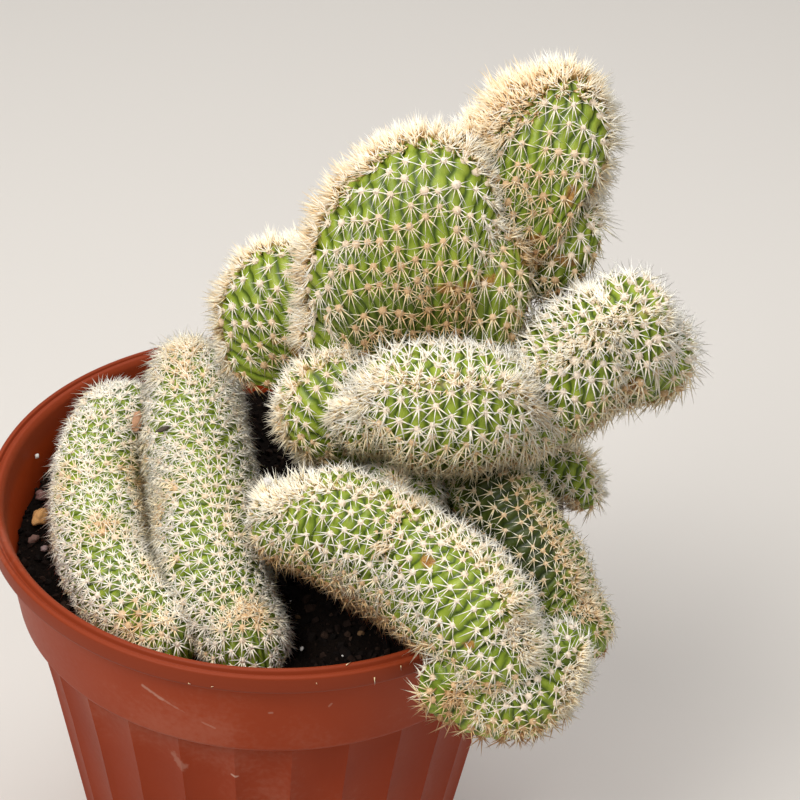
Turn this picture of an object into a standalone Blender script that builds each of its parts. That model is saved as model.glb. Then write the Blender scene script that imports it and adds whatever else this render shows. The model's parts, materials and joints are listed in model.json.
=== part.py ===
# Potted crested cactus: a fluted plastic pot, its soil, and two crested stems with ribs and spines.
# Metres, +Z up. The origin is the centre of the pot's underside and the front faces -Y.

import math
import random

import bmesh
import bpy
import numpy as np
from mathutils import Vector
from mathutils.bvhtree import BVHTree

MM = 0.001
CLEARANCE = 0.35 * MM          # gap between pieces that touch

# Pot
POT_HEIGHT = 115 * MM
RIM_RADIUS = 70 * MM           # outside of the rolled rim
LIP_RADIUS = 66 * MM           # inner edge of the rim
ROLL_HEIGHT = 5.5 * MM
BAND_TOP_RADIUS = 66.6 * MM
BAND_FOOT_RADIUS = 63.2 * MM
BAND_FOOT_HEIGHT = 86.7 * MM   # lower edge of the smooth band
FLUTE_TOP_RADIUS = 60.2 * MM
BASE_RADIUS = 45.5 * MM
FLUTE_COUNT = 28
FLUTE_DEPTH = 1.5 * MM
FLUTE_STEPS = 3                # points round each flute
FLUTE_TURN = math.radians(9.1)  # a flute's edge, measured from the front towards +X
WALL = 1.9 * MM
FLOOR = 2.4 * MM
DRAIN_COUNT = 6
DRAIN_RADIUS = 4 * MM
DRAIN_CIRCLE = 31 * MM

# Soil
SOIL_LEVEL = 100 * MM
SOIL_RELIEF = 1.3 * MM
SOIL_RINGS = 5
SOIL_SIDES = 36

# Stems
RIB_PITCH = 5.6 * MM           # along the crest line
HOLE_PITCH = 9 * MM            # coarser, for the plain holes in the soil
HOLE_ROOM = 1.1 * MM           # more than the coarse hole's flats cut in
ONWARD_SMOOTHING = 6           # passes that keep neighbouring sections from crossing
SLIM_THICKNESS = 12            # millimetres; slimmer lobes have fewer faces round them
RIB_RELIEF = 0.5 * MM          # each way from the mean surface
ROOT_NARROWING = 0.22          # how much a lobe thins from its crest to its root
SPINE_LENGTH = 4.2 * MM
SPINE_RADIUS = 0.5 * MM        # at the root
SPINE_SINK = 1.4 * MM
SPINE_TILT = 0.2
SPINE_SPACING = 15 * MM        # along one rib
SPINE_KEEP_OUT = 1.2 * MM      # free room round each spine's tip
SEED = 11

# Each lobe of a stem is a thick fan. The crest line runs along its growing edge, the root
# line along its foot, and the thickness is its half width. All are in millimetres.
LEFT_STEM = {
    "outer": dict(
        crest=[(-46, 27, 120), (-48, 14, 118), (-44, -6, 116), (-37, -26, 115), (-28, -40, 114),
               (-21, -46, 112)],
        root=[(-37, 29, 97), (-41, 12, 91), (-41, -9, 88), (-34, -28, 88), (-24, -41, 92)],
        thickness=[12, 12, 11, 9]),
    "inner": dict(
        crest=[(-25, 27, 136), (-22, 14, 134), (-16, -6, 130), (-12, -26, 125), (-8, -40, 119),
               (-4, -46, 115)],
        root=[(-21, 31, 98), (-21, 12, 92), (-16, -10, 90), (-12, -29, 90), (-3, -43, 92)],
        thickness=[12, 13.5, 13.5, 10.5]),
}
MAIN_STEM = {
    "trunk": dict(
        crest=[(20, 1, 152), (27, 1, 158), (35, 1, 161), (44, 1, 158), (50, 1, 151)],
        root=[(26, 0, 87), (29, 0, 85), (33, 0, 84), (37, 0, 85), (40, 0, 87)],
        thickness=[10, 14, 14, 10]),
    "top_left": dict(
        crest=[(-13, 8, 152), (-14, 10, 160), (-11, 11, 169), (-5, 11, 176), (2, 10, 178)],
        root=[(7, 4, 147), (12, 2, 151), (16, 2, 155)],
        thickness=[7.5, 11, 11]),
    "top_fan": dict(
        crest=[(7, -3, 169), (6, 0, 176), (8, 3, 186), (13, 6, 196), (22, 8, 206), (32, 8, 210),
               (41, 6, 208), (47, 3, 201), (49, 0, 193)],
        root=[(25, -6, 155), (27, -7, 158), (33, -8, 160), (39, -8, 158), (43, -7, 153)],
        thickness=[8, 15, 15, 10]),
    "top_right": dict(
        crest=[(43, 14, 211), (48, 17, 217), (56, 18, 221), (63, 18, 223), (69, 16, 219),
               (72, 13, 210), (71, 10, 202), (68, 8, 196)],
        root=[(45, 3, 172), (48, 4, 176), (53, 4, 178), (57, 4, 177), (58, 4, 172)],
        thickness=[9, 13, 13, 8]),
    "middle": dict(
        crest=[(20, -24, 158), (26, -28, 168), (36, -32, 171), (46, -32, 171), (55, -28, 167),
               (60, -22, 158)],
        root=[(28, -8, 140), (38, -10, 139), (49, -8, 140)],
        thickness=[9, 14, 14, 10]),
    "middle_left": dict(
        crest=[(15, -12, 163), (8, -16, 160), (3, -17, 152), (3, -15, 143), (7, -12, 137)],
        root=[(22, -5, 142), (21, -5, 140)],
        thickness=[9, 11, 9]),
    "right_arm": dict(
        crest=[(56, -14, 165), (63, -17, 173), (71, -18, 180), (79, -15, 184), (86, -12, 181),
               (89, -9, 173)],
        root=[(55, -2, 135), (63, 0, 139), (72, 2, 145), (77, 1, 149), (81, 0, 151)],
        thickness=[11, 15, 13.5, 14.5, 10]),
    "lower_front": dict(
        crest=[(4, -36, 138), (13, -40, 146), (24, -44, 147), (37, -50, 145), (48, -58, 143),
               (56, -66, 138), (57, -67, 132)],
        root=[(11, -27, 117), (24, -37, 113), (38, -49, 112), (49, -57, 113)],
        thickness=[10, 12.2, 11, 12.2, 11]),
    "over_rim": dict(
        crest=[(47, -70, 112), (55, -72, 107), (63, -72, 107), (69, -69, 111), (71, -65, 117)],
        root=[(46, -61, 111), (52, -60, 111), (58, -59, 112), (63, -57, 114)],
        thickness=[9, 11, 10]),
    "front_neck": dict(
        crest=[(31, -6, 139), (30, -22, 138), (28, -38, 137)],
        root=[(33, -6, 112), (32, -22, 114), (30, -38, 118)],
        thickness=[11, 10, 10]),
    "right_drop": dict(
        crest=[(44, -8, 142), (51, -18, 141), (58, -26, 138), (64, -32, 132), (70, -36, 124),
               (74, -38, 116)],
        root=[(40, 0, 121), (47, -12, 120), (54, -20, 119), (62, -28, 113), (69, -34, 101)],
        thickness=[9, 9, 10, 10]),
    "right_bud": dict(
        crest=[(50, 2, 135), (63, 2, 133), (73, 2, 129), (77, 2, 122)],
        root=[(49, 1, 119), (59, 1, 118), (66, 1, 118), (70, 1, 119)],
        thickness=[8, 7, 7, 6]),
}


def clear_scene():
    for item in list(bpy.data.objects):
        bpy.data.objects.remove(item, do_unlink=True)


def material(name, colour, roughness):
    made = bpy.data.materials.new(name)
    made.use_nodes = True
    shader = made.node_tree.nodes["Principled BSDF"]
    shader.inputs["Base Color"].default_value = (*colour, 1.0)
    shader.inputs["Roughness"].default_value = roughness
    shader.inputs["Metallic"].default_value = 0.0
    return made


def solid(name, points, faces, finish, collection=None):
    mesh = bpy.data.meshes.new(name)
    mesh.from_pydata([tuple(p) for p in points], [], faces)
    work = bmesh.new()
    work.from_mesh(mesh)
    bmesh.ops.triangulate(work, faces=work.faces)
    bmesh.ops.recalc_face_normals(work, faces=work.faces)
    work.to_mesh(mesh)
    work.free()
    made = bpy.data.objects.new(name, mesh)
    made.data.materials.append(finish)
    (collection or bpy.context.scene.collection).objects.link(made)
    return made


def shade(item, degrees=35):
    item.data.shade_smooth()
    item.data.set_sharp_from_angle(angle=math.radians(degrees))


# A closed skin over rings of points, each end closed at a pole point.
def loft(first_pole, rings, last_pole):
    count = len(rings[0])
    points = [first_pole]
    for ring in rings:
        points.extend(ring)
    points.append(last_pole)
    faces = []
    for k in range(count):
        after = (k + 1) % count
        faces.append((0, 1 + after, 1 + k))
        for r in range(len(rings) - 1):
            low = 1 + r * count
            high = low + count
            faces.append((low + k, low + after, high + after))
            faces.append((low + k, high + after, high + k))
        low = 1 + (len(rings) - 1) * count
        faces.append((low + k, low + after, len(points) - 1))
    return points, faces


def cylinder(name, radius, height, centre, sides=8):
    rings = []
    for z in (centre[2] - height / 2, centre[2] + height / 2):
        rings.append([(centre[0] + radius * math.cos(a), centre[1] + radius * math.sin(a), z)
                      for a in (2 * math.pi * k / sides for k in range(sides))])
    low = (centre[0], centre[1], centre[2] - height / 2)
    high = (centre[0], centre[1], centre[2] + height / 2)
    cutter = solid(name, *loft(low, rings, high), material(name, (0.5, 0.5, 0.5), 0.5))
    cutter.hide_render = True
    cutter.display_type = "WIRE"
    return cutter


# Inner wall of the pot, from its lip down to its floor, as radius and height.
def inner_wall():
    return [
        (LIP_RADIUS, POT_HEIGHT),
        (LIP_RADIUS - 0.9 * MM, POT_HEIGHT - 1.1 * MM),
        (BAND_FOOT_RADIUS - WALL, BAND_FOOT_HEIGHT + 0.6 * MM),
        (FLUTE_TOP_RADIUS - FLUTE_DEPTH - WALL, BAND_FOOT_HEIGHT - 2.2 * MM),
        (BASE_RADIUS - FLUTE_DEPTH - WALL, FLOOR),
    ]


def inner_radius(height):
    wall = inner_wall()
    return np.interp(height, [z for _, z in reversed(wall)], [r for r, _ in reversed(wall)])


def make_pot(finish):
    sides = FLUTE_COUNT * FLUTE_STEPS
    roll_foot = POT_HEIGHT - ROLL_HEIGHT
    # radius, height, and how deep the flutes are there
    outside = [
        (BASE_RADIUS, 0, 1),
        (FLUTE_TOP_RADIUS, BAND_FOOT_HEIGHT - 1.2 * MM, 1),
        (BAND_FOOT_RADIUS, BAND_FOOT_HEIGHT, 0),
        (BAND_TOP_RADIUS, roll_foot, 0),
        (RIM_RADIUS, roll_foot + 0.8 * MM, 0),
        (RIM_RADIUS, POT_HEIGHT - 1.2 * MM, 0),
        (RIM_RADIUS - 1 * MM, POT_HEIGHT, 0),
    ]
    profile = outside + [(r, z, 0) for r, z in inner_wall()]
    rings = []
    for radius, height, depth in profile:
        ring = []
        for k in range(sides):
            angle = -math.pi / 2 + FLUTE_TURN + 2 * math.pi * k / sides
            hollow = math.sin(math.pi * (k % FLUTE_STEPS) / FLUTE_STEPS)
            r = radius - FLUTE_DEPTH * depth * hollow
            ring.append((r * math.cos(angle), r * math.sin(angle), height))
        rings.append(ring)
    pot = solid("pot", *loft((0, 0, 0), rings, (0, 0, FLOOR)), finish)
    for k in range(DRAIN_COUNT):
        angle = 2 * math.pi * (k + 0.5) / DRAIN_COUNT
        centre = (DRAIN_CIRCLE * math.cos(angle), DRAIN_CIRCLE * math.sin(angle), FLOOR / 2)
        drain = cylinder("drain_cutter_%d" % k, DRAIN_RADIUS, 3 * FLOOR, centre)
        cut(pot, drain)
    shade(pot)
    return pot


def cut(item, cutter):
    step = item.modifiers.new(cutter.name, "BOOLEAN")
    step.operation = "DIFFERENCE"
    step.solver = "EXACT"
    step.object = cutter


# Replaces the object's mesh by what its modifiers make of it.
def apply_modifiers(item):
    graph = bpy.context.evaluated_depsgraph_get()
    made = bpy.data.meshes.new_from_object(item.evaluated_get(graph))
    item.modifiers.clear()
    item.data = made


# Points of the smooth curve through the given ones, at places from 0 to 1.
def along(points, places):
    points = np.array(points, float).reshape(len(points), -1)
    last = len(points) - 1
    found = []
    for place in places:
        at = min(place * last, last - 1e-9)
        i = int(at)
        f = at - i
        p1 = points[i]
        p2 = points[i + 1]
        p0 = points[i - 1] if i > 0 else 2 * p1 - p2
        p3 = points[i + 2] if i + 2 <= last else 2 * p2 - p1
        curve = (2 * p1 + (p2 - p0) * f + (2 * p0 - 5 * p1 + 4 * p2 - p3) * f ** 2
                 + (3 * p1 - p0 - 3 * p2 + p3) * f ** 3)
        found.append(curve / 2)
    return np.array(found)


def unit(vectors):
    return vectors / np.linalg.norm(vectors, axis=-1, keepdims=True)


# The cross-sections of a lobe, evenly spaced along its crest line.
class Sections:
    def __init__(self, lobe, pitch):
        fine = np.linspace(0, 1, 200)
        crest = along(lobe["crest"], fine) * MM
        steps = np.linalg.norm(np.diff(crest, axis=0), axis=1)
        run = np.concatenate([[0], np.cumsum(steps)])
        self.count = max(3, 2 * round(run[-1] / pitch) + 1)
        places = np.interp(np.linspace(0, run[-1], self.count), run, fine)
        crest = along(lobe["crest"], places) * MM
        root = along(lobe["root"], places) * MM
        self.centre = (crest + root) / 2
        self.height = np.linalg.norm(crest - root, axis=1) / 2
        self.width = along(lobe["thickness"], places)[:, 0] * MM
        self.up = unit(crest - root)
        onward = np.gradient(self.centre, axis=0) + 0.5 * np.gradient(crest, axis=0)
        for _ in range(ONWARD_SMOOTHING):
            onward[1:-1] = (onward[:-2] + 2 * onward[1:-1] + onward[2:]) / 4
            onward[0] = onward[1]
            onward[-1] = onward[-2]
        onward = onward - (onward * self.up).sum(axis=1, keepdims=True) * self.up
        self.onward = unit(onward)
        self.side = np.cross(self.onward, self.up)

    # A point of section i. The angle is 0 at the crest; scale and shift make the rounded ends.
    def point(self, i, angle, relief=0.0, scale=1.0, shift=0.0):
        rise = math.cos(angle)
        reach = math.sin(angle)
        width = self.width[i] * (1 - ROOT_NARROWING * (1 - rise) / 2)
        out = (self.height[i] + relief) * rise * self.up[i] + (width + relief) * reach * self.side[i]
        return self.centre[i] + shift * self.onward[i] + scale * out

    def around(self, i):
        return 2 * math.pi * math.sqrt((self.height[i] ** 2 + self.width[i] ** 2) / 2)


# The skin of one lobe. Ribs are rows that stand out and rows that lie back in turn.
def lobe_skin(lobe, grow=0.0, ribbed=True):
    sections = Sections(lobe, RIB_PITCH if ribbed else HOLE_PITCH)
    sides = 12 if max(lobe["thickness"]) > SLIM_THICKNESS else 10
    angles = [2 * math.pi * k / sides for k in range(sides)]
    cap = [math.radians(35), math.radians(65)]
    last = sections.count - 1
    rings = []
    for turn in cap:
        rings.append([sections.point(0, a, grow, math.sin(turn), -sections.width[0] * math.cos(turn))
                      for a in angles])
    for i in range(sections.count):
        relief = RIB_RELIEF * (1 if i % 2 else -1) if ribbed else RIB_RELIEF
        rings.append([sections.point(i, a, grow + relief) for a in angles])
    for turn in reversed(cap):
        rings.append([sections.point(last, a, grow, math.sin(turn),
                                     sections.width[last] * math.cos(turn)) for a in angles])
    first_pole = sections.centre[0] - (sections.width[0] + grow) * sections.onward[0]
    last_pole = sections.centre[last] + (sections.width[last] + grow) * sections.onward[last]
    return loft(first_pole, rings, last_pole)


# Where spines should stand on a lobe: in rows along its ribs, staggered, and over its ends.
def spine_marks(lobe):
    sections = Sections(lobe, RIB_PITCH)
    last = sections.count - 1
    marks = []
    for i in range(1, last, 2):
        count = max(5, round(sections.around(i) / SPINE_SPACING))
        for k in range(count):
            angle = 2 * math.pi * (k + 0.5 * (i // 2 % 2)) / count
            marks.append(sections.point(i, angle, RIB_RELIEF))
    for i, way in ((0, -1), (last, 1)):
        for turn, count in ((20, 3), (55, 6)):
            shift = way * sections.width[i] * math.cos(math.radians(turn))
            for k in range(count):
                angle = 2 * math.pi * (k + 0.5) / count
                marks.append(sections.point(i, angle, 0, math.sin(math.radians(turn)), shift))
    return marks


# Each spine stands in the middle of the skin's face nearest to its mark.
def spine_places(lobe):
    points, faces = lobe_skin(lobe)
    tree = tree_of(points, faces)
    places = []
    used = set()
    for mark in spine_marks(lobe):
        _, out, index, _ = tree.find_nearest(Vector(mark))
        a, b, c = (np.array(points[k]) for k in faces[index])
        sides = np.linalg.norm(a - b) + np.linalg.norm(b - c) + np.linalg.norm(c - a)
        inside_radius = np.linalg.norm(np.cross(b - a, c - a)) / sides
        if index in used or inside_radius < SPINE_RADIUS:
            continue
        used.add(index)
        places.append(((a + b + c) / 3, np.array(out)))
    return places


def spine(point, way):
    way = Vector(way)
    across = way.orthogonal().normalized()
    beside = way.cross(across)
    foot = Vector(point) - SPINE_SINK * way
    ring = []
    for k in range(3):
        angle = 2 * math.pi * k / 3
        ring.append(foot + SPINE_RADIUS * (math.cos(angle) * across + math.sin(angle) * beside))
    tip = Vector(point) + SPINE_LENGTH * way
    return [*ring, tip], [(0, 2, 1), (0, 1, 3), (1, 2, 3), (2, 0, 3)]


def tree_of(points, faces):
    return BVHTree.FromPolygons([Vector(p) for p in points], faces, all_triangles=True)


# How far a point lies outside a closed skin; negative when it is inside.
def outside(tree, point):
    place, normal, _, distance = tree.find_nearest(Vector(point))
    return distance if (Vector(point) - place).dot(normal) > 0 else -distance


def clear_of_pot(point):
    radius = math.hypot(point[0], point[1])
    if point[2] > POT_HEIGHT + SPINE_KEEP_OUT:
        return True
    if radius > RIM_RADIUS + SPINE_KEEP_OUT:
        return True
    above_soil = point[2] > SOIL_LEVEL + SOIL_RELIEF + SPINE_KEEP_OUT
    return above_soil and radius < inner_radius(point[2]) - SPINE_KEEP_OUT


# The spines of a stem that stand clear of its other lobes, of the pot and soil, and of
# the spines already taken.
def choose_spines(lobes, taken, others, draw):
    trees = {name: tree_of(*lobe_skin(lobe)) for name, lobe in lobes.items()}
    chosen = []
    for name, lobe in lobes.items():
        rest = [tree for other, tree in trees.items() if other != name] + others
        for point, out in spine_places(lobe):
            lean = np.array([draw.uniform(-1, 1) for _ in range(3)]) * SPINE_TILT
            way = unit(out + lean - np.dot(out, lean) * out)
            tip = point + SPINE_LENGTH * way
            if min(outside(tree, point) for tree in rest) < SPINE_KEEP_OUT:
                continue
            if min(outside(tree, tip) for tree in rest) < SPINE_KEEP_OUT:
                continue
            if not (clear_of_pot(point) and clear_of_pot(tip)):
                continue
            if any(np.linalg.norm(tip - other) < 2 * SPINE_KEEP_OUT for other in taken):
                continue
            taken.append(tip)
            chosen.append((point, way))
    return chosen


# A stem is one body: its lobes and its spines joined by one union.
def make_stem(name, lobes, spines, finish):
    group = bpy.data.collections.new(name + "_pieces")
    bpy.context.scene.collection.children.link(group)
    pieces = list(lobes.items())
    stem = solid(name, *lobe_skin(pieces[0][1]), finish)
    for piece, lobe in pieces[1:]:
        solid(piece, *lobe_skin(lobe), finish, group)
    points = []
    faces = []
    for place, way in spines:
        more, sides = spine(place, way)
        faces.extend(tuple(k + len(points) for k in face) for face in sides)
        points.extend(more)
    solid(name + "_spines", points, faces, finish, group)
    union = stem.modifiers.new("union", "BOOLEAN")
    union.operation = "UNION"
    union.solver = "MANIFOLD"
    union.operand_type = "COLLECTION"
    union.collection = group
    apply_modifiers(stem)
    for item in list(group.objects):
        bpy.data.objects.remove(item, do_unlink=True)
    bpy.data.collections.remove(group)
    keep_largest_body(stem)
    shade(stem)
    return stem


# The room that the rim takes: the stem that hangs over it is pressed in to this shape.
def rim_room():
    sides = 72
    inner = LIP_RADIUS - 6 * MM
    outer = RIM_RADIUS + CLEARANCE
    low = POT_HEIGHT - 30 * MM
    high = POT_HEIGHT + CLEARANCE
    points = []
    for k in range(sides):
        angle = 2 * math.pi * k / sides
        for radius, height in ((inner, low), (outer, low), (outer, high), (inner, high)):
            points.append((radius * math.cos(angle), radius * math.sin(angle), height))
    faces = []
    for k in range(sides):
        here = 4 * k
        after = 4 * ((k + 1) % sides)
        for c in range(4):
            d = (c + 1) % 4
            faces.append((here + c, here + d, after + d, after + c))
    room = solid("rim_room", points, faces, material("rim_room", (0.5, 0.5, 0.5), 0.5))
    room.hide_render = True
    room.display_type = "WIRE"
    return room


# Keeps the one large body: a hollow that the union sealed is filled, a loose scrap is dropped.
def keep_largest_body(item):
    work = bmesh.new()
    work.from_mesh(item.data)
    left = set(work.verts)
    bodies = []
    while left:
        start = left.pop()
        body = [start]
        for vert in body:
            for edge in vert.link_edges:
                other = edge.other_vert(vert)
                if other in left:
                    left.remove(other)
                    body.append(other)
        bodies.append(body)
    bodies.sort(key=len)
    for body in bodies[:-1]:
        bmesh.ops.delete(work, geom=body, context="VERTS")
    work.to_mesh(item.data)
    work.free()


def make_soil(finish, stems, draw):
    edge = inner_radius(SOIL_LEVEL) - CLEARANCE
    rings = []
    for r in range(1, SOIL_RINGS + 1):
        radius = edge * r / SOIL_RINGS
        ring = []
        for k in range(SOIL_SIDES):
            angle = 2 * math.pi * k / SOIL_SIDES
            height = SOIL_LEVEL + draw.uniform(-1, 1) * SOIL_RELIEF
            ring.append((radius * math.cos(angle), radius * math.sin(angle), height))
        rings.append(ring)
    for radius, height in inner_wall()[2:]:
        radius -= CLEARANCE
        height = max(height, FLOOR + CLEARANCE)
        rings.append([(radius * math.cos(2 * math.pi * k / SOIL_SIDES),
                       radius * math.sin(2 * math.pi * k / SOIL_SIDES), height)
                      for k in range(SOIL_SIDES)])
    top = (0, 0, SOIL_LEVEL)
    bottom = (0, 0, FLOOR + CLEARANCE)
    soil = solid("soil", *loft(top, rings, bottom), finish)
    for name, lobe in stems.items():
        hole = solid(name + "_hole", *lobe_skin(lobe, HOLE_ROOM, ribbed=False), finish)
        hole.hide_render = True
        hole.display_type = "WIRE"
        cut(soil, hole)
    shade(soil, 50)
    return soil


def main():
    clear_scene()
    draw = random.Random(SEED)
    terracotta = material("terracotta_plastic", (0.33, 0.085, 0.04), 0.45)
    earth = material("potting_soil", (0.035, 0.022, 0.016), 0.95)
    skin = material("cactus_skin", (0.13, 0.24, 0.04), 0.5)
    make_pot(terracotta)
    sunk = dict(LEFT_STEM, trunk=MAIN_STEM["trunk"])
    make_soil(earth, sunk, draw)
    left_skins = [tree_of(*lobe_skin(lobe)) for lobe in LEFT_STEM.values()]
    main_skins = [tree_of(*lobe_skin(lobe)) for lobe in MAIN_STEM.values()]
    taken = []
    main_spines = choose_spines(MAIN_STEM, taken, left_skins, draw)
    left_spines = choose_spines(LEFT_STEM, taken, main_skins, draw)
    make_stem("left_stem", LEFT_STEM, left_spines, skin)
    stem = make_stem("main_stem", MAIN_STEM, main_spines, skin)
    cut(stem, rim_room())


main()
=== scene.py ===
# Looks of a potted crested cactus: ribbed skin, areoles with wool, spines, soil and a plastic pot.
# Metres, +Z up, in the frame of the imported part. The front faces -Y.

import json
import math
import random
import time
from types import SimpleNamespace

import bmesh
import bpy
import numpy as np
from mathutils import Matrix, Vector
from mathutils.bvhtree import BVHTree
from mathutils.kdtree import KDTree
from mathutils.noise import fractal as fractalNoise

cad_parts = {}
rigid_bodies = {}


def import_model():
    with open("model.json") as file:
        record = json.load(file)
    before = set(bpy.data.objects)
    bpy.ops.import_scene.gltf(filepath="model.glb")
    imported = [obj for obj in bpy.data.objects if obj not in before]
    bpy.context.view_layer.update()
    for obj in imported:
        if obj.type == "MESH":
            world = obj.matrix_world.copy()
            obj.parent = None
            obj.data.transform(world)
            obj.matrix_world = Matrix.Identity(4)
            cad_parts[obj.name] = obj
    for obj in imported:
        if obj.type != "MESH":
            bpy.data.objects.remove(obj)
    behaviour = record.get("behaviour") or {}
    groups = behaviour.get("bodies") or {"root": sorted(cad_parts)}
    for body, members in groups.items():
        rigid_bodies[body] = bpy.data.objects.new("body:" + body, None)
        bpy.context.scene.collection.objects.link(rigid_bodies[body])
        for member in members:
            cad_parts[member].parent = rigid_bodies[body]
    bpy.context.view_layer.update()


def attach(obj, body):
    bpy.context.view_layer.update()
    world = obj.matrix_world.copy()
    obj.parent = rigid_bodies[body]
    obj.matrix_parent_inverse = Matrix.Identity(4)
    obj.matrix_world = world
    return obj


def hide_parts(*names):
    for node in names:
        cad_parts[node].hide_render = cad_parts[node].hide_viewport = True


startedAt = time.time()
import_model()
mm = 0.001


def fractal(place):
    return fractalNoise(place, 0.9, 2.0, 4)


def say(words):
    print("%5.1f s  %s" % (time.time() - startedAt, words))


def operator(operation, swapped=False):
    def apply(self, other):
        return self.maths(operation, *((other, self) if swapped else (self, other)))
    return apply


# A socket of a node tree. Operators on it add Math nodes, and node() adds any other node.
class Wire:
    def __init__(self, tree, socket=None):
        self.tree = tree
        self.socket = socket

    def node(self, kind, settings=None, sockets=None, out=0):
        made = self.tree.nodes.new(kind)
        for name, value in (settings or {}).items():
            if name == "stops":
                self.setStops(made.color_ramp, value)
            else:
                setattr(made, name, value)
        for name, value in (sockets or {}).items():
            if isinstance(value, Wire):
                self.tree.links.new(value.socket, made.inputs[name])
            else:
                made.inputs[name].default_value = value
        return Wire(self.tree, made.outputs[out])

    def setStops(self, ramp, stops):
        while len(ramp.elements) < len(stops):
            ramp.elements.new(1.0)
        for element, (place, colour) in zip(ramp.elements, stops):
            element.position = place
            element.color = (*colour, 1.0) if len(colour) == 3 else colour

    def maths(self, operation, *values):
        sockets = {i: value for i, value in enumerate(values)}
        return self.node("ShaderNodeMath", {"operation": operation}, sockets)

    __add__, __radd__ = operator("ADD"), operator("ADD", True)
    __sub__, __rsub__ = operator("SUBTRACT"), operator("SUBTRACT", True)
    __mul__, __rmul__ = operator("MULTIPLY"), operator("MULTIPLY", True)
    __truediv__, __rtruediv__ = operator("DIVIDE"), operator("DIVIDE", True)
    __pow__ = operator("POWER")


def vectorMaths(operation, first, second, out=0):
    wire = first if isinstance(first, Wire) else second
    sockets = {0: first, ("Scale" if operation == "SCALE" else 1): second}
    return wire.node("ShaderNodeVectorMath", {"operation": operation}, sockets, out)


def upright(place):
    return place.node("ShaderNodeSeparateXYZ", None, {0: place}, 2)


# What each lobe of the stems has where its own entry says nothing else. Lengths are in millimetres,
# and a list is read from one end of the lobe to the other.
usualLobe = dict(
    rib=2.8,          # from one rib to the next
    areole=5.2,       # from one areole to the next down a rib
    reach=10,         # how far from the crest line the areoles lie closer together
    young=0.5,        # and how close they lie at that line, as a share of areole
    spine=4.0,        # length of the spines
    spines=9,         # in each star
    needle=0.25,      # radius of a spine's foot
    pad=0.82,         # radius of the wool
    bunch=0.4,        # how upright the spines near the crest line stand
    sparse=0.75,      # share of the spines that a star at the crest line has
    base=0.03,        # how brown all spines are
    # tan: the browner underside is partly old stain and partly painted shade
    tan=0.45,         # how much browner they are on the underside
    stain=0.0,        # how much browner they are far from the crest line
    patchy=0.1,       # how much their size and colour change from patch to patch
    warm=0.4,         # how golden the bristles are
    gold=None,        # the same along the lobe, for those on the crest line
    band=[2.0],       # half the width that bristles cover along the crest line
    shift=[0.0],      # how far over to the front they lie
    dense=0.7,        # how close they stand
    fringe=0.0,       # half the width that bristles cover along the root line
    seam=None,        # place along the lobe where bristles run down the flanks, and how far
)
# The lobes: the crest line, the root line and the half width between them, then what is their own.
leftStem = {
    "outer": dict(
        crest=[(-46, 27, 120), (-48, 14, 118), (-44, -6, 116), (-37, -26, 115), (-28, -40, 114),
               (-21, -46, 112)],
        root=[(-37, 29, 97), (-41, 12, 91), (-41, -9, 88), (-34, -28, 88), (-24, -41, 92)],
        thickness=[12, 12, 11, 9], rib=2.6, areole=3.7, reach=9, young=0.58,
        spines=10, needle=0.27, pad=0.76, bunch=0.25, base=0.05, patchy=0.45, warm=0.12,
        band=[0.0]),
    "inner": dict(
        crest=[(-25, 27, 136), (-22, 14, 134), (-16, -6, 130), (-12, -26, 125), (-8, -40, 119),
               (-4, -46, 115)],
        root=[(-21, 31, 98), (-21, 12, 92), (-16, -10, 90), (-12, -29, 90), (-3, -43, 92)],
        thickness=[12, 13.5, 13.5, 10.5], rib=2.6, areole=3.8, reach=9, young=0.56, spine=4.1,
        spines=10, needle=0.27, pad=0.78, bunch=0.25, base=0.05, patchy=0.42, warm=0.16,
        band=[0.0]),
}
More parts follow.
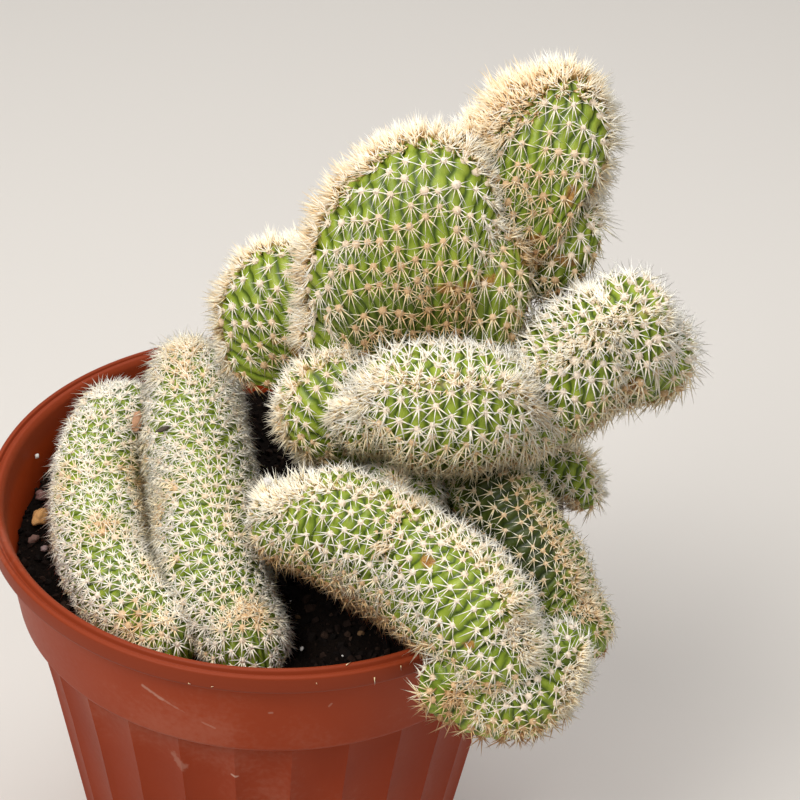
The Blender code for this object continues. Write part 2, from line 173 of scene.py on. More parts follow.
mainStem = {
    "trunk": dict(
        crest=[(20, 1, 152), (27, 1, 158), (35, 1, 161), (44, 1, 158), (50, 1, 151)],
        root=[(26, 0, 87), (29, 0, 85), (33, 0, 84), (37, 0, 85), (40, 0, 87)],
        thickness=[10, 14, 14, 10], rib=3.0, areole=5.5, pad=0.85, bunch=0.3),
    "topLeft": dict(
        crest=[(-13, 8, 152), (-14, 10, 160), (-11, 11, 169), (-5, 11, 176), (2, 10, 178)],
        root=[(7, 4, 147), (12, 2, 151), (16, 2, 155)],
        thickness=[7.5, 11, 11], rib=3.0, areole=5.8, young=0.36, spine=3.9, needle=0.22, pad=0.88,
        bunch=0.85, sparse=1.0, base=0.04, stain=0.3, warm=0.36, gold=[0.4, 0.44, 0.42, 0.38, 0.36],
        band=[3.0, 3.5, 3.0, 2.5, 2.5], shift=[1.2], dense=1.0),
    "topFan": dict(
        crest=[(7, -3, 169), (6, 0, 176), (8, 3, 186), (13, 6, 196), (22, 8, 206), (32, 8, 210),
               (41, 6, 208), (47, 3, 201), (49, 0, 193)],
        root=[(25, -6, 155), (27, -7, 158), (33, -8, 160), (39, -8, 158), (43, -7, 153)],
        thickness=[8, 15, 15, 10], rib=3.2, areole=5.4, reach=11, young=0.28, spine=4.8,
        needle=0.22, pad=0.96, bunch=0.95, sparse=1.0, stain=0.38,
        gold=[0.42, 0.48, 0.48, 0.46, 0.42, 0.38, 0.34, 0.3],
        band=[4.8, 5.6, 5.6, 5.2, 4.2, 3.2, 1.8, 1.2], shift=[2.4], dense=1.0),
    "topRight": dict(
        crest=[(43, 14, 211), (48, 17, 217), (56, 18, 221), (63, 18, 223), (69, 16, 219),
               (72, 13, 210), (71, 10, 202), (68, 8, 196)],
        root=[(45, 3, 172), (48, 4, 176), (53, 4, 178), (57, 4, 177), (58, 4, 172)],
        thickness=[9, 13, 13, 8], rib=3.0, young=0.3, spine=4.7, needle=0.22, pad=0.88,
        bunch=0.9, sparse=1.0, stain=0.38, gold=[0.46, 0.48, 0.46, 0.42, 0.3, 0.2, 0.2],
        band=[7.0, 7.5, 6.5, 4.0, 2.2, 1.4, 1.2], shift=[5.5, 6.0, 5.5, 3.5, 2.2, 1.8, 1.8],
        dense=1.0),
    "middle": dict(
        crest=[(20, -24, 158), (26, -28, 168), (36, -32, 171), (46, -32, 171), (55, -28, 167),
               (60, -22, 158)],
        root=[(28, -8, 140), (38, -10, 139), (49, -8, 140)],
        thickness=[9, 14, 14, 10], rib=2.9, reach=13, young=0.44, spine=5.1, needle=0.3, pad=0.88,
        bunch=0.5, base=0.02, tan=0.42, warm=0.12, gold=[0.34, 0.36, 0.4, 0.36, 0.34, 0.44],
        band=[4.5, 2.8, 1.7, 1.5, 2.4, 5.0], shift=[0.0, 1.0, 1.0, 1.0, 1.0, 0.0], fringe=0.5),
    "middleLeft": dict(
        crest=[(15, -12, 163), (8, -16, 160), (3, -17, 152), (3, -15, 143), (7, -12, 137)],
        root=[(22, -5, 142), (21, -5, 140)],
        thickness=[9, 11, 9], areole=4.4, reach=9, young=0.42, bunch=0.6, warm=0.36,
        band=[1.6, 2.6, 2.0], fringe=1.5),
    "rightArm": dict(
        crest=[(56, -14, 165), (63, -17, 173), (71, -18, 180), (79, -15, 184), (86, -12, 181),
               (89, -9, 173)],
        root=[(55, -2, 135), (63, 0, 139), (72, 2, 145), (77, 1, 149), (81, 0, 151)],
        thickness=[11, 15, 13.5, 14.5, 10], rib=3.0, areole=5.6, reach=16, young=0.46, spine=5.2,
        spines=7, needle=0.3, pad=1.0, bunch=0.6, base=0.0, warm=0.14,
        gold=[0.34, 0.3, 0.32, 0.34, 0.22, 0.1], band=[3.5, 1.8, 2.4, 2.8, 2.3, 0.8],
        shift=[3.9, 3.9, 3.9, 3.5, 3.0, 1.5], fringe=1.5, seam=(0.52, 15)),
    "lowerFront": dict(
        crest=[(4, -36, 138), (13, -40, 146), (24, -44, 147), (37, -50, 145), (48, -58, 143),
               (56, -66, 138), (57, -67, 132)],
        root=[(11, -27, 117), (24, -37, 113), (38, -49, 112), (49, -57, 113)],
        thickness=[10, 12.2, 11, 12.2, 11], rib=2.9, areole=5.3, reach=13, young=0.38, spine=4.5,
        spines=7, bunch=0.42, base=0.0, tan=0.8, warm=0.32, band=[4.2, 1.2, 0.4, 0.4, 1.6, 3.4],
        fringe=1.5, seam=(0.47, 11)),
    "overRim": dict(
        crest=[(47, -70, 112), (55, -72, 107), (63, -72, 107), (69, -69, 111), (71, -65, 117)],
        root=[(46, -61, 111), (52, -60, 111), (58, -59, 112), (63, -57, 114)],
        thickness=[9, 11, 10], areole=4.5, reach=8, young=0.46, spines=7, tan=0.9, warm=0.34,
        band=[0.6, 0.8, 1.0, 2.2], fringe=1.2),
    "frontNeck": dict(
        crest=[(31, -6, 139), (30, -22, 138), (28, -38, 137)],
        root=[(33, -6, 112), (32, -22, 114), (30, -38, 118)],
        thickness=[11, 10, 10], areole=4.6, reach=9, spine=3.8),
    # Its browner spines (base, tan) stand partly for painted shade under the lobes above it
    "rightDrop": dict(
        crest=[(44, -8, 142), (51, -18, 141), (58, -26, 138), (64, -32, 132), (70, -36, 124),
               (74, -38, 116)],
        root=[(40, 0, 121), (47, -12, 120), (54, -20, 119), (62, -28, 113), (69, -34, 101)],
        thickness=[9, 9, 10, 10], rib=2.7, areole=4.4, young=0.42, spine=3.4, spines=7,
        needle=0.22, pad=0.58, bunch=0.36, base=0.22, tan=0.75, warm=0.42,
        band=[0.6, 0.7, 0.9, 1.6], fringe=1.5),
    "rightBud": dict(
        crest=[(50, 2, 135), (63, 2, 133), (73, 2, 129), (77, 2, 122)],
        root=[(49, 1, 119), (59, 1, 118), (66, 1, 118), (70, 1, 119)],
        thickness=[8, 7, 7, 6], rib=2.7, areole=4.0, reach=8, spine=3.9, pad=0.8, bunch=0.5,
        warm=0.28, fringe=1.0),
}
skinShape = dict(
    sectionPitch=5.6 * mm,        # of the plain form, as the part has it
    onwardSmoothing=6,
    rootNarrowing=0.22,
    rowsPerRib=5,
    aroundPitch=1.4 * mm,
    ribHeight=0.7 * mm,           # from groove to ridge
    ribSquareness=3.4,            # higher gives flatter ribs with narrower grooves
    areoleSwell=0.34 * mm,
    grooveSway=0.12,              # of a rib, round each areole
    wander=0.17,                  # of a rib, slow drift along it
    evenEnds=8 * mm,              # at a lobe's ends, where ribs do not drift
    slowDrift=(6.1 * mm, 9 * mm),
    quickDrift=(3.3 * mm, 5.7 * mm),
    fade=(0.25, 1.1),             # least and most relief where ribs crowd or part
    leastGap=0.46,                # of the full areole spacing, between any two
    onwardJitter=0.2,             # of the spacing, how far an areole is from its even place
    sideJitter=0.14,              # of a rib
    feltEdge=2.0 * mm,            # how softly the felt under the bristles ends
    feltReach=0.2,                # of the band of bristles
)


# Points of the smooth curve through the given ones, at places from 0 to 1.
def along(points, places):
    points = np.array(points, float).reshape(len(points), -1)
    last = len(points) - 1
    at = np.clip(np.asarray(places, float) * last, 0, last - 1e-9)
    i = at.astype(int)
    f = (at - i)[:, None]
    padded = np.vstack([2 * points[0] - points[1], points, 2 * points[-1] - points[-2]])
    p0, p1, p2, p3 = (padded[i + k] for k in range(4))
    return (2 * p1 + (p2 - p0) * f + (2 * p0 - 5 * p1 + 4 * p2 - p3) * f ** 2
            + (3 * p1 - p0 - 3 * p2 + p3) * f ** 3) / 2


def unit(vectors):
    return vectors / np.linalg.norm(vectors, axis=-1, keepdims=True)


# The plain form of a lobe: its cross-sections, read at any place from 0 to 1, and its round ends.
class Lobe:
    def __init__(self, name, shape):
        self.name = name
        self.shape = dict(usualLobe, **shape)
        fine = np.linspace(0, 1, 200)
        crest = along(shape["crest"], fine) * mm
        run = np.concatenate([[0], np.cumsum(np.linalg.norm(np.diff(crest, axis=0), axis=1))])
        self.count = max(3, 2 * round(run[-1] / skinShape["sectionPitch"]) + 1)
        places = np.interp(np.linspace(0, run[-1], self.count), run, fine)
        crest = along(shape["crest"], places) * mm
        root = along(shape["root"], places) * mm
        onward = np.gradient((crest + root) / 2, axis=0) + 0.5 * np.gradient(crest, axis=0)
        for _ in range(skinShape["onwardSmoothing"]):
            onward[1:-1] = (onward[:-2] + 2 * onward[1:-1] + onward[2:]) / 4
            onward[0] = onward[1]
            onward[-1] = onward[-2]
        up = unit(crest - root)
        onward = unit(onward - (onward * up).sum(axis=1, keepdims=True) * up)
        size = np.column_stack([np.linalg.norm(crest - root, axis=1) / 2,
                                along(shape["thickness"], places)[:, 0] * mm])
        self.table = np.hstack([(crest + root) / 2, size, up, onward])
        self.places = np.linspace(0, 1, 300)
        self.length = self.measure()
        self.ribs = max(2, round(self.length / (self.shape["rib"] * mm)))
        self.pitch = self.length / self.ribs

    # Length of the flank's middle, where the ribs have their true pitch.
    def measure(self):
        rows = self.read(self.places)
        middle = rows["centre"] + 0.35 * rows["height"][:, None] * rows["up"]
        self.run = np.concatenate([[0], np.cumsum(np.linalg.norm(np.diff(middle, axis=0), axis=1))])
        return self.run[-1]

    # What a list of the lobe's shape gives at runs along the flank's middle, in metres.
    def at(self, key, run):
        values = self.shape[key]
        return np.interp(np.asarray(run) / self.length, np.linspace(0, 1, len(values)), values) * mm

    # How far the ribs drift at a run and a distance from the crest line, and how free they are to.
    def drift(self, run, away):
        ends = skinShape["evenEnds"]
        free = smoothStep(run / ends) * smoothStep((self.length - run) / ends)
        seed = 1.7 * len(self.name)
        (slow, slowRun), (quick, quickRun) = skinShape["slowDrift"], skinShape["quickDrift"]
        return (np.sin(away / slow + run / slowRun + seed)
                + 0.6 * np.sin(away / quick - run / quickRun + 2 * seed)), free

    # The place of a run along the flank's middle, in metres.
    def placeOf(self, run):
        return np.interp(run, self.run, self.places)

    def read(self, places):
        rows = along(self.table, places)
        up = unit(rows[:, 5:8])
        onward = rows[:, 8:11] - (rows[:, 8:11] * up).sum(axis=1, keepdims=True) * up
        onward = unit(onward)
        return dict(centre=rows[:, :3], height=rows[:, 3], width=rows[:, 4], up=up, onward=onward,
                    side=np.cross(onward, up))

    # Points of the plain skin at places along and angles round, 0 at the crest line.
    def skin(self, places, angles, scale=1.0, shift=0.0):
        rows = self.read(places)
        rise = np.cos(angles)
        width = rows["width"] * (1 - skinShape["rootNarrowing"] * (1 - rise) / 2)
        out = ((rows["height"] * rise)[:, None] * rows["up"]
               + (width * np.sin(angles))[:, None] * rows["side"])
        scale = np.broadcast_to(scale, rise.shape)[:, None]
        shift = np.broadcast_to(shift, rise.shape)[:, None]
        return rows["centre"] + scale * out + shift * rows["onward"]


def smoothStep(values):
    values = np.clip(values, 0, 1)
    return values * values * (3 - 2 * values)


# What lies round a section: how far the skin runs from the crest line down to each angle.
def runDown(rows, angles):
    last = 64
    steps = np.linspace(0, math.pi, last + 1)
    middle = (steps[1:] + steps[:-1]) / 2
    pace = np.sqrt((rows["height"][:, None] * np.sin(middle)) ** 2
                   + (rows["width"][:, None] * np.cos(middle)) ** 2) * (steps[1] - steps[0])
    table = np.hstack([np.zeros((len(pace), 1)), np.cumsum(pace, axis=1)])
    at = np.clip(angles / steps[1], 0, last - 0.001)
    i = at.astype(int)
    row = np.arange(len(table)).reshape([-1] + [1] * (at.ndim - 1))
    low = table[np.broadcast_to(row, at.shape), i]
    high = table[np.broadcast_to(row, at.shape), i + 1]
    return low + (high - low) * (at - i)


# How many areoles a rib has from the crest line down to a run, closer together near the crest.
def areoleCount(lobe, run):
    full = lobe.shape["areole"] * mm
    young = lobe.shape["young"]
    steps = np.linspace(0, 0.12, 400)
    gap = full * (young + (1 - young) * smoothStep(steps / (lobe.shape["reach"] * mm)))
    counts = np.concatenate([[0], np.cumsum((steps[1] - steps[0]) / gap[1:])])
    return np.interp(run, steps, counts)


# The grid of a lobe's fine skin, row by row from one pole to the other, with what is known there.
def skinGrid(lobe):
    pitch = lobe.pitch
    rowGap = pitch / skinShape["rowsPerRib"]
    flankRuns = np.arange(lobe.ribs * skinShape["rowsPerRib"] + 1) * rowGap
    ends = lobe.read([0, 1])["width"]
    biggest = lobe.read(np.linspace(0, 1, 9))
    perimeter = 2 * runDown(biggest, np.full((9, 1), math.pi)).max()
    columns = 2 * round(perimeter / skinShape["aroundPitch"] / 2)
    angles = np.arange(columns) * 2 * math.pi / columns
    firstTurns = np.linspace(0, math.pi / 2, round(math.pi / 2 * ends[0] / rowGap) + 1)[1:-1]
    lastTurns = np.linspace(math.pi / 2, 0, round(math.pi / 2 * ends[1] / rowGap) + 1)[1:-1]
    runs = np.concatenate([firstTurns * 0, flankRuns, lastTurns * 0 + lobe.length])
    turns = np.concatenate([firstTurns, flankRuns * 0 + math.pi / 2, lastTurns])
    ways = np.concatenate([firstTurns * 0 - 1, flankRuns * 0, lastTurns * 0 + 1])

    run, angle = np.meshgrid(runs, angles, indexing="ij")
    turn = np.broadcast_to(turns[:, None], run.shape)
    way = np.broadcast_to(ways[:, None], run.shape)
    down = np.arccos(np.clip(np.sin(turn) * np.cos(angle), -1, 1))
    lon = np.arctan2(np.cos(turn), np.abs(np.sin(turn) * np.sin(angle)) + 1e-9)
    end = np.where(way < 0, ends[0], ends[1])
    rib = run / pitch + way * lon * end / pitch
    sections = lobe.read(lobe.placeOf(runs))
    away = runDown(sections, down)
    under = runDown(sections, np.full(down.shape, math.pi)) - away
    order = areoleCount(lobe, away)

    part = rib - np.floor(rib)
    parity = np.mod(np.floor(rib), 2)
    beat = np.cos(2 * math.pi * order + math.pi * parity)
    drift, free = lobe.drift(run, away)
    sway = (-skinShape["grooveSway"] * np.cos(math.pi * part) * beat
            + skinShape["wander"] * drift) * free * pitch
    place = lobe.placeOf((run + sway).ravel())
    points = lobe.skin(place, angle.ravel(), np.sin(turn).ravel(),
                       (way * end * np.cos(turn)).ravel()).reshape(*run.shape, 3)
    poles = []
    for i, side in ((0, -1), (1, 1)):
        rows = lobe.read([float(i)])
        poles.append(rows["centre"][0] + side * rows["width"][0] * rows["onward"][0])

    rowsOut = np.concatenate([np.broadcast_to(poles[0], (1, columns, 3)), points,
                              np.broadcast_to(poles[1], (1, columns, 3))])
    down3 = np.roll(points, -1, axis=1) - np.roll(points, 1, axis=1)
    onward3 = rowsOut[2:] - rowsOut[:-2]
    normal = unit(np.cross(down3, onward3))
    if ((points - points.mean(axis=1, keepdims=True)) * normal).sum() < 0:
        normal = -normal
    localPitch = np.linalg.norm(onward3, axis=-1) / 2 * skinShape["rowsPerRib"] / pitch
    fade = np.clip(localPitch, *skinShape["fade"])
    fade = np.where(way == 0, fade, fade * smoothStep(1.6 * np.sin(down) - 0.2))
    ridge = 1 - np.abs(2 * part - 1) ** skinShape["ribSquareness"]
    swell = np.maximum(0, beat) ** 2 * ridge
    height = (skinShape["ribHeight"] * (ridge - 0.6) + skinShape["areoleSwell"] * swell) * fade
    points = points + height[..., None] * normal
    edge = skinShape["feltEdge"]

    def feltOver(half, aside):
        return smoothStep((skinShape["feltReach"] * half + 0.3 * edge - aside) / edge)

    band = lobe.at("band", run)
    aside = np.abs(np.where(angle <= math.pi, away, -away) - lobe.at("shift", run))
    felt = np.where(band > 0, feltOver(band, aside), 0)
    fringe = lobe.shape["fringe"] * mm
    if fringe > 0:
        felt = np.maximum(felt, feltOver(fringe, under))
    return dict(points=points, poles=poles, ridge=ridge * fade, felt=felt)


def closedGrid(name, grid):
    rows, columns = grid["points"].shape[:2]
    first, last = (pole[None] for pole in grid["poles"])
    points = np.vstack([first, grid["points"].reshape(-1, 3), last])
    index = 1 + np.arange(rows * columns).reshape(rows, columns)
    after = np.roll(index, -1, axis=1)
    quads = np.stack([index[:-1], after[:-1], after[1:], index[1:]], axis=-1).reshape(-1, 4)
    first = [(0, int(b), int(a)) for a, b in zip(index[0], after[0])]
    last = [(int(a), int(b), len(points) - 1) for a, b in zip(index[-1], after[-1])]
    mesh = bpy.data.meshes.new(name)
    mesh.from_pydata(points, [], first + quads.tolist() + last)
    work = bmesh.new()
    work.from_mesh(mesh)
    bmesh.ops.recalc_face_normals(work, faces=work.faces)
    work.to_mesh(mesh)
    work.free()
    return mesh


def putAttribute(mesh, name, values):
    made = mesh.attributes.new(name, "FLOAT", "POINT")
    made.data.foreach_set("value", np.asarray(values, np.float32).ravel())


def newObject(name, mesh):
    made = bpy.data.objects.new(name, mesh)
    bpy.context.scene.collection.objects.link(made)
    return made


# Replaces an object's mesh by what its modifiers make of it.
def settle(item):
    graph = bpy.context.evaluated_depsgraph_get()
    mesh = bpy.data.meshes.new_from_object(item.evaluated_get(graph))
    item.modifiers.clear()
    item.data = mesh
    return item


def makeSkin(name, lobes):
    group = bpy.data.collections.new(name + "Lobes")
    bpy.context.scene.collection.children.link(group)
    skin = None
    for lobe in lobes:
        grid = skinGrid(lobe)
        mesh = closedGrid(lobe.name, grid)
        for key in ("ridge", "felt"):
            values = grid[key].ravel()
            putAttribute(mesh, key, np.concatenate([values[:1] * 0, values, values[:1] * 0]))
        if skin is None:
            skin = newObject(name, mesh)
        else:
            item = bpy.data.objects.new(lobe.name, mesh)
            group.objects.link(item)
        say("%s: %d ribs, %d points" % (lobe.name, lobe.ribs, len(mesh.vertices)))
    union = skin.modifiers.new("union", "BOOLEAN")
    union.operation = "UNION"
    union.solver = "MANIFOLD"
    union.operand_type = "COLLECTION"
    union.collection = group
    settle(skin)
    for item in list(group.objects):
        bpy.data.objects.remove(item, do_unlink=True)
    bpy.data.collections.remove(group)
    return skin


leftLobes = [Lobe(name, shape) for name, shape in leftStem.items()]
mainLobes = [Lobe(name, shape) for name, shape in mainStem.items()]
leftSkin = makeSkin("leftSkin", leftLobes)
mainSkin = makeSkin("mainSkin", mainLobes)
say("skins")


# The closest points of a finished skin, and the way the skin faces round there.
class Surface:
    def __init__(self, item):
        mesh = item.data
        points = np.zeros(len(mesh.vertices) * 3, np.float32)
        mesh.vertices.foreach_get("co", points)
        normals = np.zeros(len(mesh.vertices) * 3, np.float32)
        mesh.vertices.foreach_get("normal", normals)
        self.normals = normals.reshape(-1, 3)
        self.tree = KDTree(len(mesh.vertices))
        for i, point in enumerate(points.reshape(-1, 3)):
            self.tree.insert(point, i)
        self.tree.balance()
        graph = bpy.context.evaluated_depsgraph_get()
        self.faces = BVHTree.FromObject(item, graph)

    def closest(self, point):
        place, _, _, distance = self.faces.find_nearest(Vector(point))
        near = [i for _, i, _ in self.tree.find_n(place, 24)]
        return np.array(place), unit(self.normals[near].sum(axis=0)), distance


# Where spines and wool are browner, partly as old stained spines and partly as painted shade in the
# gaps and low places between the lobes: place and how wide, in millimetres, and how much
brownAndShadeSpots = [
    ((44, -67, 111), 9, 0.5), ((52, -4, 187), 9, 0.3), ((38, -13, 177), 12, 0.2),
    ((-24, -44, 96), 16, 0.4), ((-6, -44, 100), 13, 0.32), ((-31, -12, 103), 13, 0.35),
    ((72, -40, 108), 9, 0.2), ((-34, 5, 108), 15, 0.42), ((-25, -48, 110), 7, 0.3),
    ((-4, -48, 114), 8, 0.3),
]


def brownAndShadeAt(places):
    total = np.zeros(len(places))
    for spot, width, weight in brownAndShadeSpots:
        away = np.linalg.norm(np.array(places) / mm - spot, axis=1)
        total += weight * smoothStep(1.5 - 1.5 * away / width)
    return total


# Where the areoles of a lobe are: place, way down the rib, distance from the crest line.
def areolePlaces(lobe, surface, draw):
    pitch = lobe.pitch
    ends = lobe.read([0, 1])["width"]
    lines = [(i, (i + 0.5) * pitch, 0, 0.0) for i in range(lobe.ribs)]
    for way, end, run, first in ((-1, ends[0], 0.0, -1), (1, ends[1], lobe.length, lobe.ribs)):
        for k in range(round(math.pi / 2 * end / pitch)):
            lines.append((first + way * k, run, way, (k + 0.5) * pitch / end))
    steps = 90
    downs = np.linspace(0, math.pi, steps)
    numbers = np.arange(float(steps))
    found = []
    for rib, run, way, lon in lines:
        away = runDown(lobe.read(lobe.placeOf([run])), downs[None])[0]
        counts = areoleCount(lobe, away)
        for flank in (-1, 1):
            if way == 0:
                drift, free = lobe.drift(run, away)
                places = lobe.placeOf(run + skinShape["wander"] * drift * free * pitch)
                line = lobe.skin(places, flank * downs)
            else:
                end = ends[0] if way < 0 else ends[1]
                shift = np.sin(downs) * math.sin(lon)
                angle = flank * np.arctan2(np.sin(downs) * math.cos(lon), np.cos(downs))
                line = lobe.skin(np.full(steps, 0.0 if way < 0 else 1.0), angle,
                                 np.sqrt(1 - shift ** 2), way * end * shift)
            ways = unit(np.gradient(line, axis=0))
            start = 0.5 if rib % 2 else (0.0 if flank > 0 else 1.0)
            for count in np.arange(start, counts[-1] - 0.4):
                count += draw.uniform(-1, 1) * skinShape["onwardJitter"]
                at = np.interp(abs(count), counts, numbers)
                i = min(int(at), steps - 2)
                point = line[i] + (line[i + 1] - line[i]) * (at - i)
                place, facing, _ = surface.closest(point)
                point = place + (np.cross(ways[i], facing) * draw.uniform(-1, 1)
                                 * skinShape["sideJitter"] * pitch)
                found.append((point, ways[i], float(np.interp(at, numbers, away))))
    return found


# A named group of geometry nodes. build() takes the wires of the inputs and gives the geometry.
def nodeGroup(name, inputs, build):
    tree = bpy.data.node_groups.new(name, "GeometryNodeTree")
    tree.interface.new_socket(name="Geometry", in_out="INPUT", socket_type="NodeSocketGeometry")
    tree.interface.new_socket(name="Geometry", in_out="OUTPUT", socket_type="NodeSocketGeometry")
    tree.interface.new_socket(name="Material", in_out="INPUT", socket_type="NodeSocketMaterial")
    for key, value in inputs.items():
        kind = "NodeSocketInt" if isinstance(value, int) else "NodeSocketFloat"
        socket = tree.interface.new_socket(name=key, in_out="INPUT", socket_type=kind)
        socket.default_value = value
    start = tree.nodes.new("NodeGroupInput")
    finish = tree.nodes.new("NodeGroupOutput")
    wires = {socket.name: Wire(tree, socket) for socket in start.outputs if socket.name}
    tree.links.new(build(wires).socket, finish.inputs["Geometry"])
    return tree


# Runs a node group on an object and keeps the plain mesh that it makes.
def grow(item, tree, values):
    step = item.modifiers.new(tree.name, "NODES")
    step.node_group = tree
    for socket in tree.interface.items_tree:
        if socket.in_out == "INPUT" and socket.name in values:
            step[socket.identifier] = values[socket.name]
    settle(item)
    for name in ("facing", "downward", "turn", "size", "rise", "hang", "many"):
        if name in item.data.attributes:
            item.data.attributes.remove(item.data.attributes[name])
    return item


def attribute(wire, name, kind="FLOAT"):
    return wire.node("GeometryNodeInputNamedAttribute", {"data_type": kind}, {"Name": name})


def chance(wires, low, high, order):
    return wires["Seed"].node("FunctionNodeRandomValue", {"data_type": "FLOAT"},
                              {2: low, 3: high, 8: wires["Seed"] + order}, 1)


def scaled(vector, factor):
    return vectorMaths("SCALE", vector, factor)


def summed(first, second):
    return vectorMaths("ADD", first, second)


def stored(geometry, name, value):
    settings = {"data_type": "FLOAT", "domain": "POINT"}
    return geometry.node("GeometryNodeStoreNamedAttribute", settings,
                         {"Geometry": geometry, "Name": name, "Value": value})


def joined(x, y, z):
    return x.node("ShaderNodeCombineXYZ", None, {"X": x, "Y": y, "Z": z})


def facingWay(way):
    return way.node("FunctionNodeAlignRotationToVector", {"axis": "Z"}, {"Vector": way})


# Puts a piece on every point and gives the whole its material.
def placed(wires, points, piece, rotation, scale, smooth=True):
    made = points.node("GeometryNodeInstanceOnPoints", None, {
        "Points": points, "Instance": piece, "Rotation": rotation, "Scale": scale})
    made = made.node("GeometryNodeRealizeInstances", None, {"Geometry": made})
    if smooth:
        made = made.node("GeometryNodeSetShadeSmooth", None, {"Geometry": made})
    return made.node("GeometryNodeSetMaterial", None,
                     {"Geometry": made, "Material": wires["Material"]})


# Stars of spines: radials that lie low round each areole and a few centrals that stand up.
def spineNodes(wires):
    points = wires["Geometry"]
    radials = wires["Radials"] * attribute(points, "many")
    radials = radials.maths("ROUND", radials)
    total = radials + wires["Centrals"]
    copies = points.node("GeometryNodeDuplicateElements", {"domain": "POINT"},
                         {"Geometry": points, "Amount": total})
    order = Wire(points.tree, copies.socket.node.outputs["Duplicate Index"])
    facing = attribute(points, "facing", "FLOAT_VECTOR")
    down = attribute(points, "downward", "FLOAT_VECTOR")
    across = vectorMaths("CROSS_PRODUCT", facing, down)
    central = order.maths("LESS_THAN", order, wires["Centrals"])
    rise = attribute(points, "rise")
    hang = attribute(points, "hang")
    turn = (order + chance(wires, -0.4, 0.4, 1)) * (2 * math.pi) / radials
    turn = turn + attribute(points, "turn")
    turn = turn - turn.maths("SINE", turn) * wires["Fan"] * hang
    cosine = turn.maths("COSINE", turn)
    sine = turn.maths("SINE", turn)
    low = chance(wires, wires["Low tilt"], wires["High tilt"], 2) + rise
    high = chance(wires, 0.8, 1.4, 3)
    tilt = low + central * (high - low)
    radial = summed(scaled(down, cosine), scaled(across, sine))
    upward = scaled(facing, tilt.maths("SINE", tilt))
    way = summed(scaled(radial, tilt.maths("COSINE", tilt)), upward)
    size = attribute(points, "size")
    droop = 1 + wires["Droop"] * cosine * hang
    length = (wires["Length"] * size * chance(wires, 0.78, 1.1, 4) * droop
              * (1 + rise * wires["Rise gain"]) * (1 - central * wires["Central loss"]))
    width = wires["Radius"] * chance(wires, 0.8, 1.2, 5)
    cone = points.node("GeometryNodeMeshCone", {"fill_type": "NGON"},
                       {"Vertices": 3, "Radius Top": 0.0, "Radius Bottom": 1.0, "Depth": 1.0})
    cone = stored(cone, "along", upright(points.node("GeometryNodeInputPosition")))
    copies = copies.node("GeometryNodeSetPosition", None,
                         {"Geometry": copies, "Offset": scaled(way, -1.0 * wires["Sink"])})
    copies = stored(copies, "lot", chance(wires, 0.0, 1.0, 6))
    return placed(wires, copies, cone, facingWay(way), joined(width, width, length))


spineTree = nodeGroup("spines", {
    "Radials": 9, "Centrals": 1, "Length": 3.5 * mm, "Radius": 0.25 * mm, "Low tilt": 0.16,
    "High tilt": 0.6, "Droop": 0.46, "Fan": 0.5, "Rise gain": 0.3, "Central loss": 0.35,
    "Sink": 0.25 * mm, "Seed": 3}, spineNodes)
# For bristles and single spines, whose points give their length and way
loneSpines = {"Centrals": 0, "Low tilt": math.pi / 2, "High tilt": math.pi / 2, "Length": 1.0,
              "Droop": 0.0, "Fan": 0.0}


# Small cushions of wool, one on each areole.
def woolNodes(wires):
    points = wires["Geometry"]
    ball = points.node("GeometryNodeMeshUVSphere", None, {"Segments": 6, "Rings": 3, "Radius": 1.0})
    size = attribute(points, "size") * chance(wires, 0.85, 1.2, 1) * wires["Radius"]
    turned = facingWay(attribute(points, "facing", "FLOAT_VECTOR"))
    points = stored(points, "lot", chance(wires, 0.0, 1.0, 2))
    return placed(wires, points, ball, turned, joined(size, size, size * wires["Loft"]))


woolTree = nodeGroup("wool", {"Radius": 0.9 * mm, "Loft": 1.0, "Seed": 5}, woolNodes)


# A principled material. build() takes a wire and gives the wires of the sockets that vary.
def material(name, settings, build):
    made = bpy.data.materials.new(name)
    made.use_nodes = True
    tree = made.node_tree
    shader = tree.nodes["Principled BSDF"]
    for key, value in settings.items():
        shader.inputs[key].default_value = value
    for key, wire in build(Wire(tree)).items():
        tree.links.new(wire.socket, shader.inputs[key])
    return made


def mixed(factor, first, second):
    return factor.node("ShaderNodeMix", {"data_type": "RGBA"}, {0: factor, 6: first, 7: second}, 2)


def meshValue(wire, name):
    return wire.node("ShaderNodeAttribute", {"attribute_name": name}, None, 2)


def colour(red, green, blue):
    return (red, green, blue, 1.0)


def ramp(factor, stops):
    return factor.node("ShaderNodeValToRGB", {"stops": stops}, {0: factor})


def objectPlace(wire):
    return wire.node("ShaderNodeTexCoord", None, None, 3)


def noise(wire, scale, detail):
    return wire.node("ShaderNodeTexNoise", None, {
        "Vector": objectPlace(wire), "Scale": scale, "Detail": detail})


def bumps(height, strength, distance):
    return height.node("ShaderNodeBump", None, {
        "Strength": strength, "Distance": distance, "Height": height})


def between(value, low, high):
    return value.node("ShaderNodeMapRange", {"interpolation_type": "SMOOTHSTEP"},
                      {"Value": value, "From Min": low, "From Max": high})


# 1 near the line from one place to another, in millimetres, falling off at the given width.
def stroke(wire, start, end, width, rough=0.0):
    start = Vector(start) * mm
    step = Vector(end) * mm - start
    away = vectorMaths("SUBTRACT", objectPlace(wire), tuple(start))
    if step.length > 0:
        share = vectorMaths("DOT_PRODUCT", away, tuple(step / step.length_squared), 1)
        share = share.maths("MINIMUM", share.maths("MAXIMUM", share, 0.0), 1.0)
        away = vectorMaths("SUBTRACT", away, vectorMaths("SCALE", tuple(step), share))
    distance = away.node("ShaderNodeVectorMath", {"operation": "LENGTH"}, {0: away}, 1)
    return 1 - between(distance + rough, width * 0.35, width)


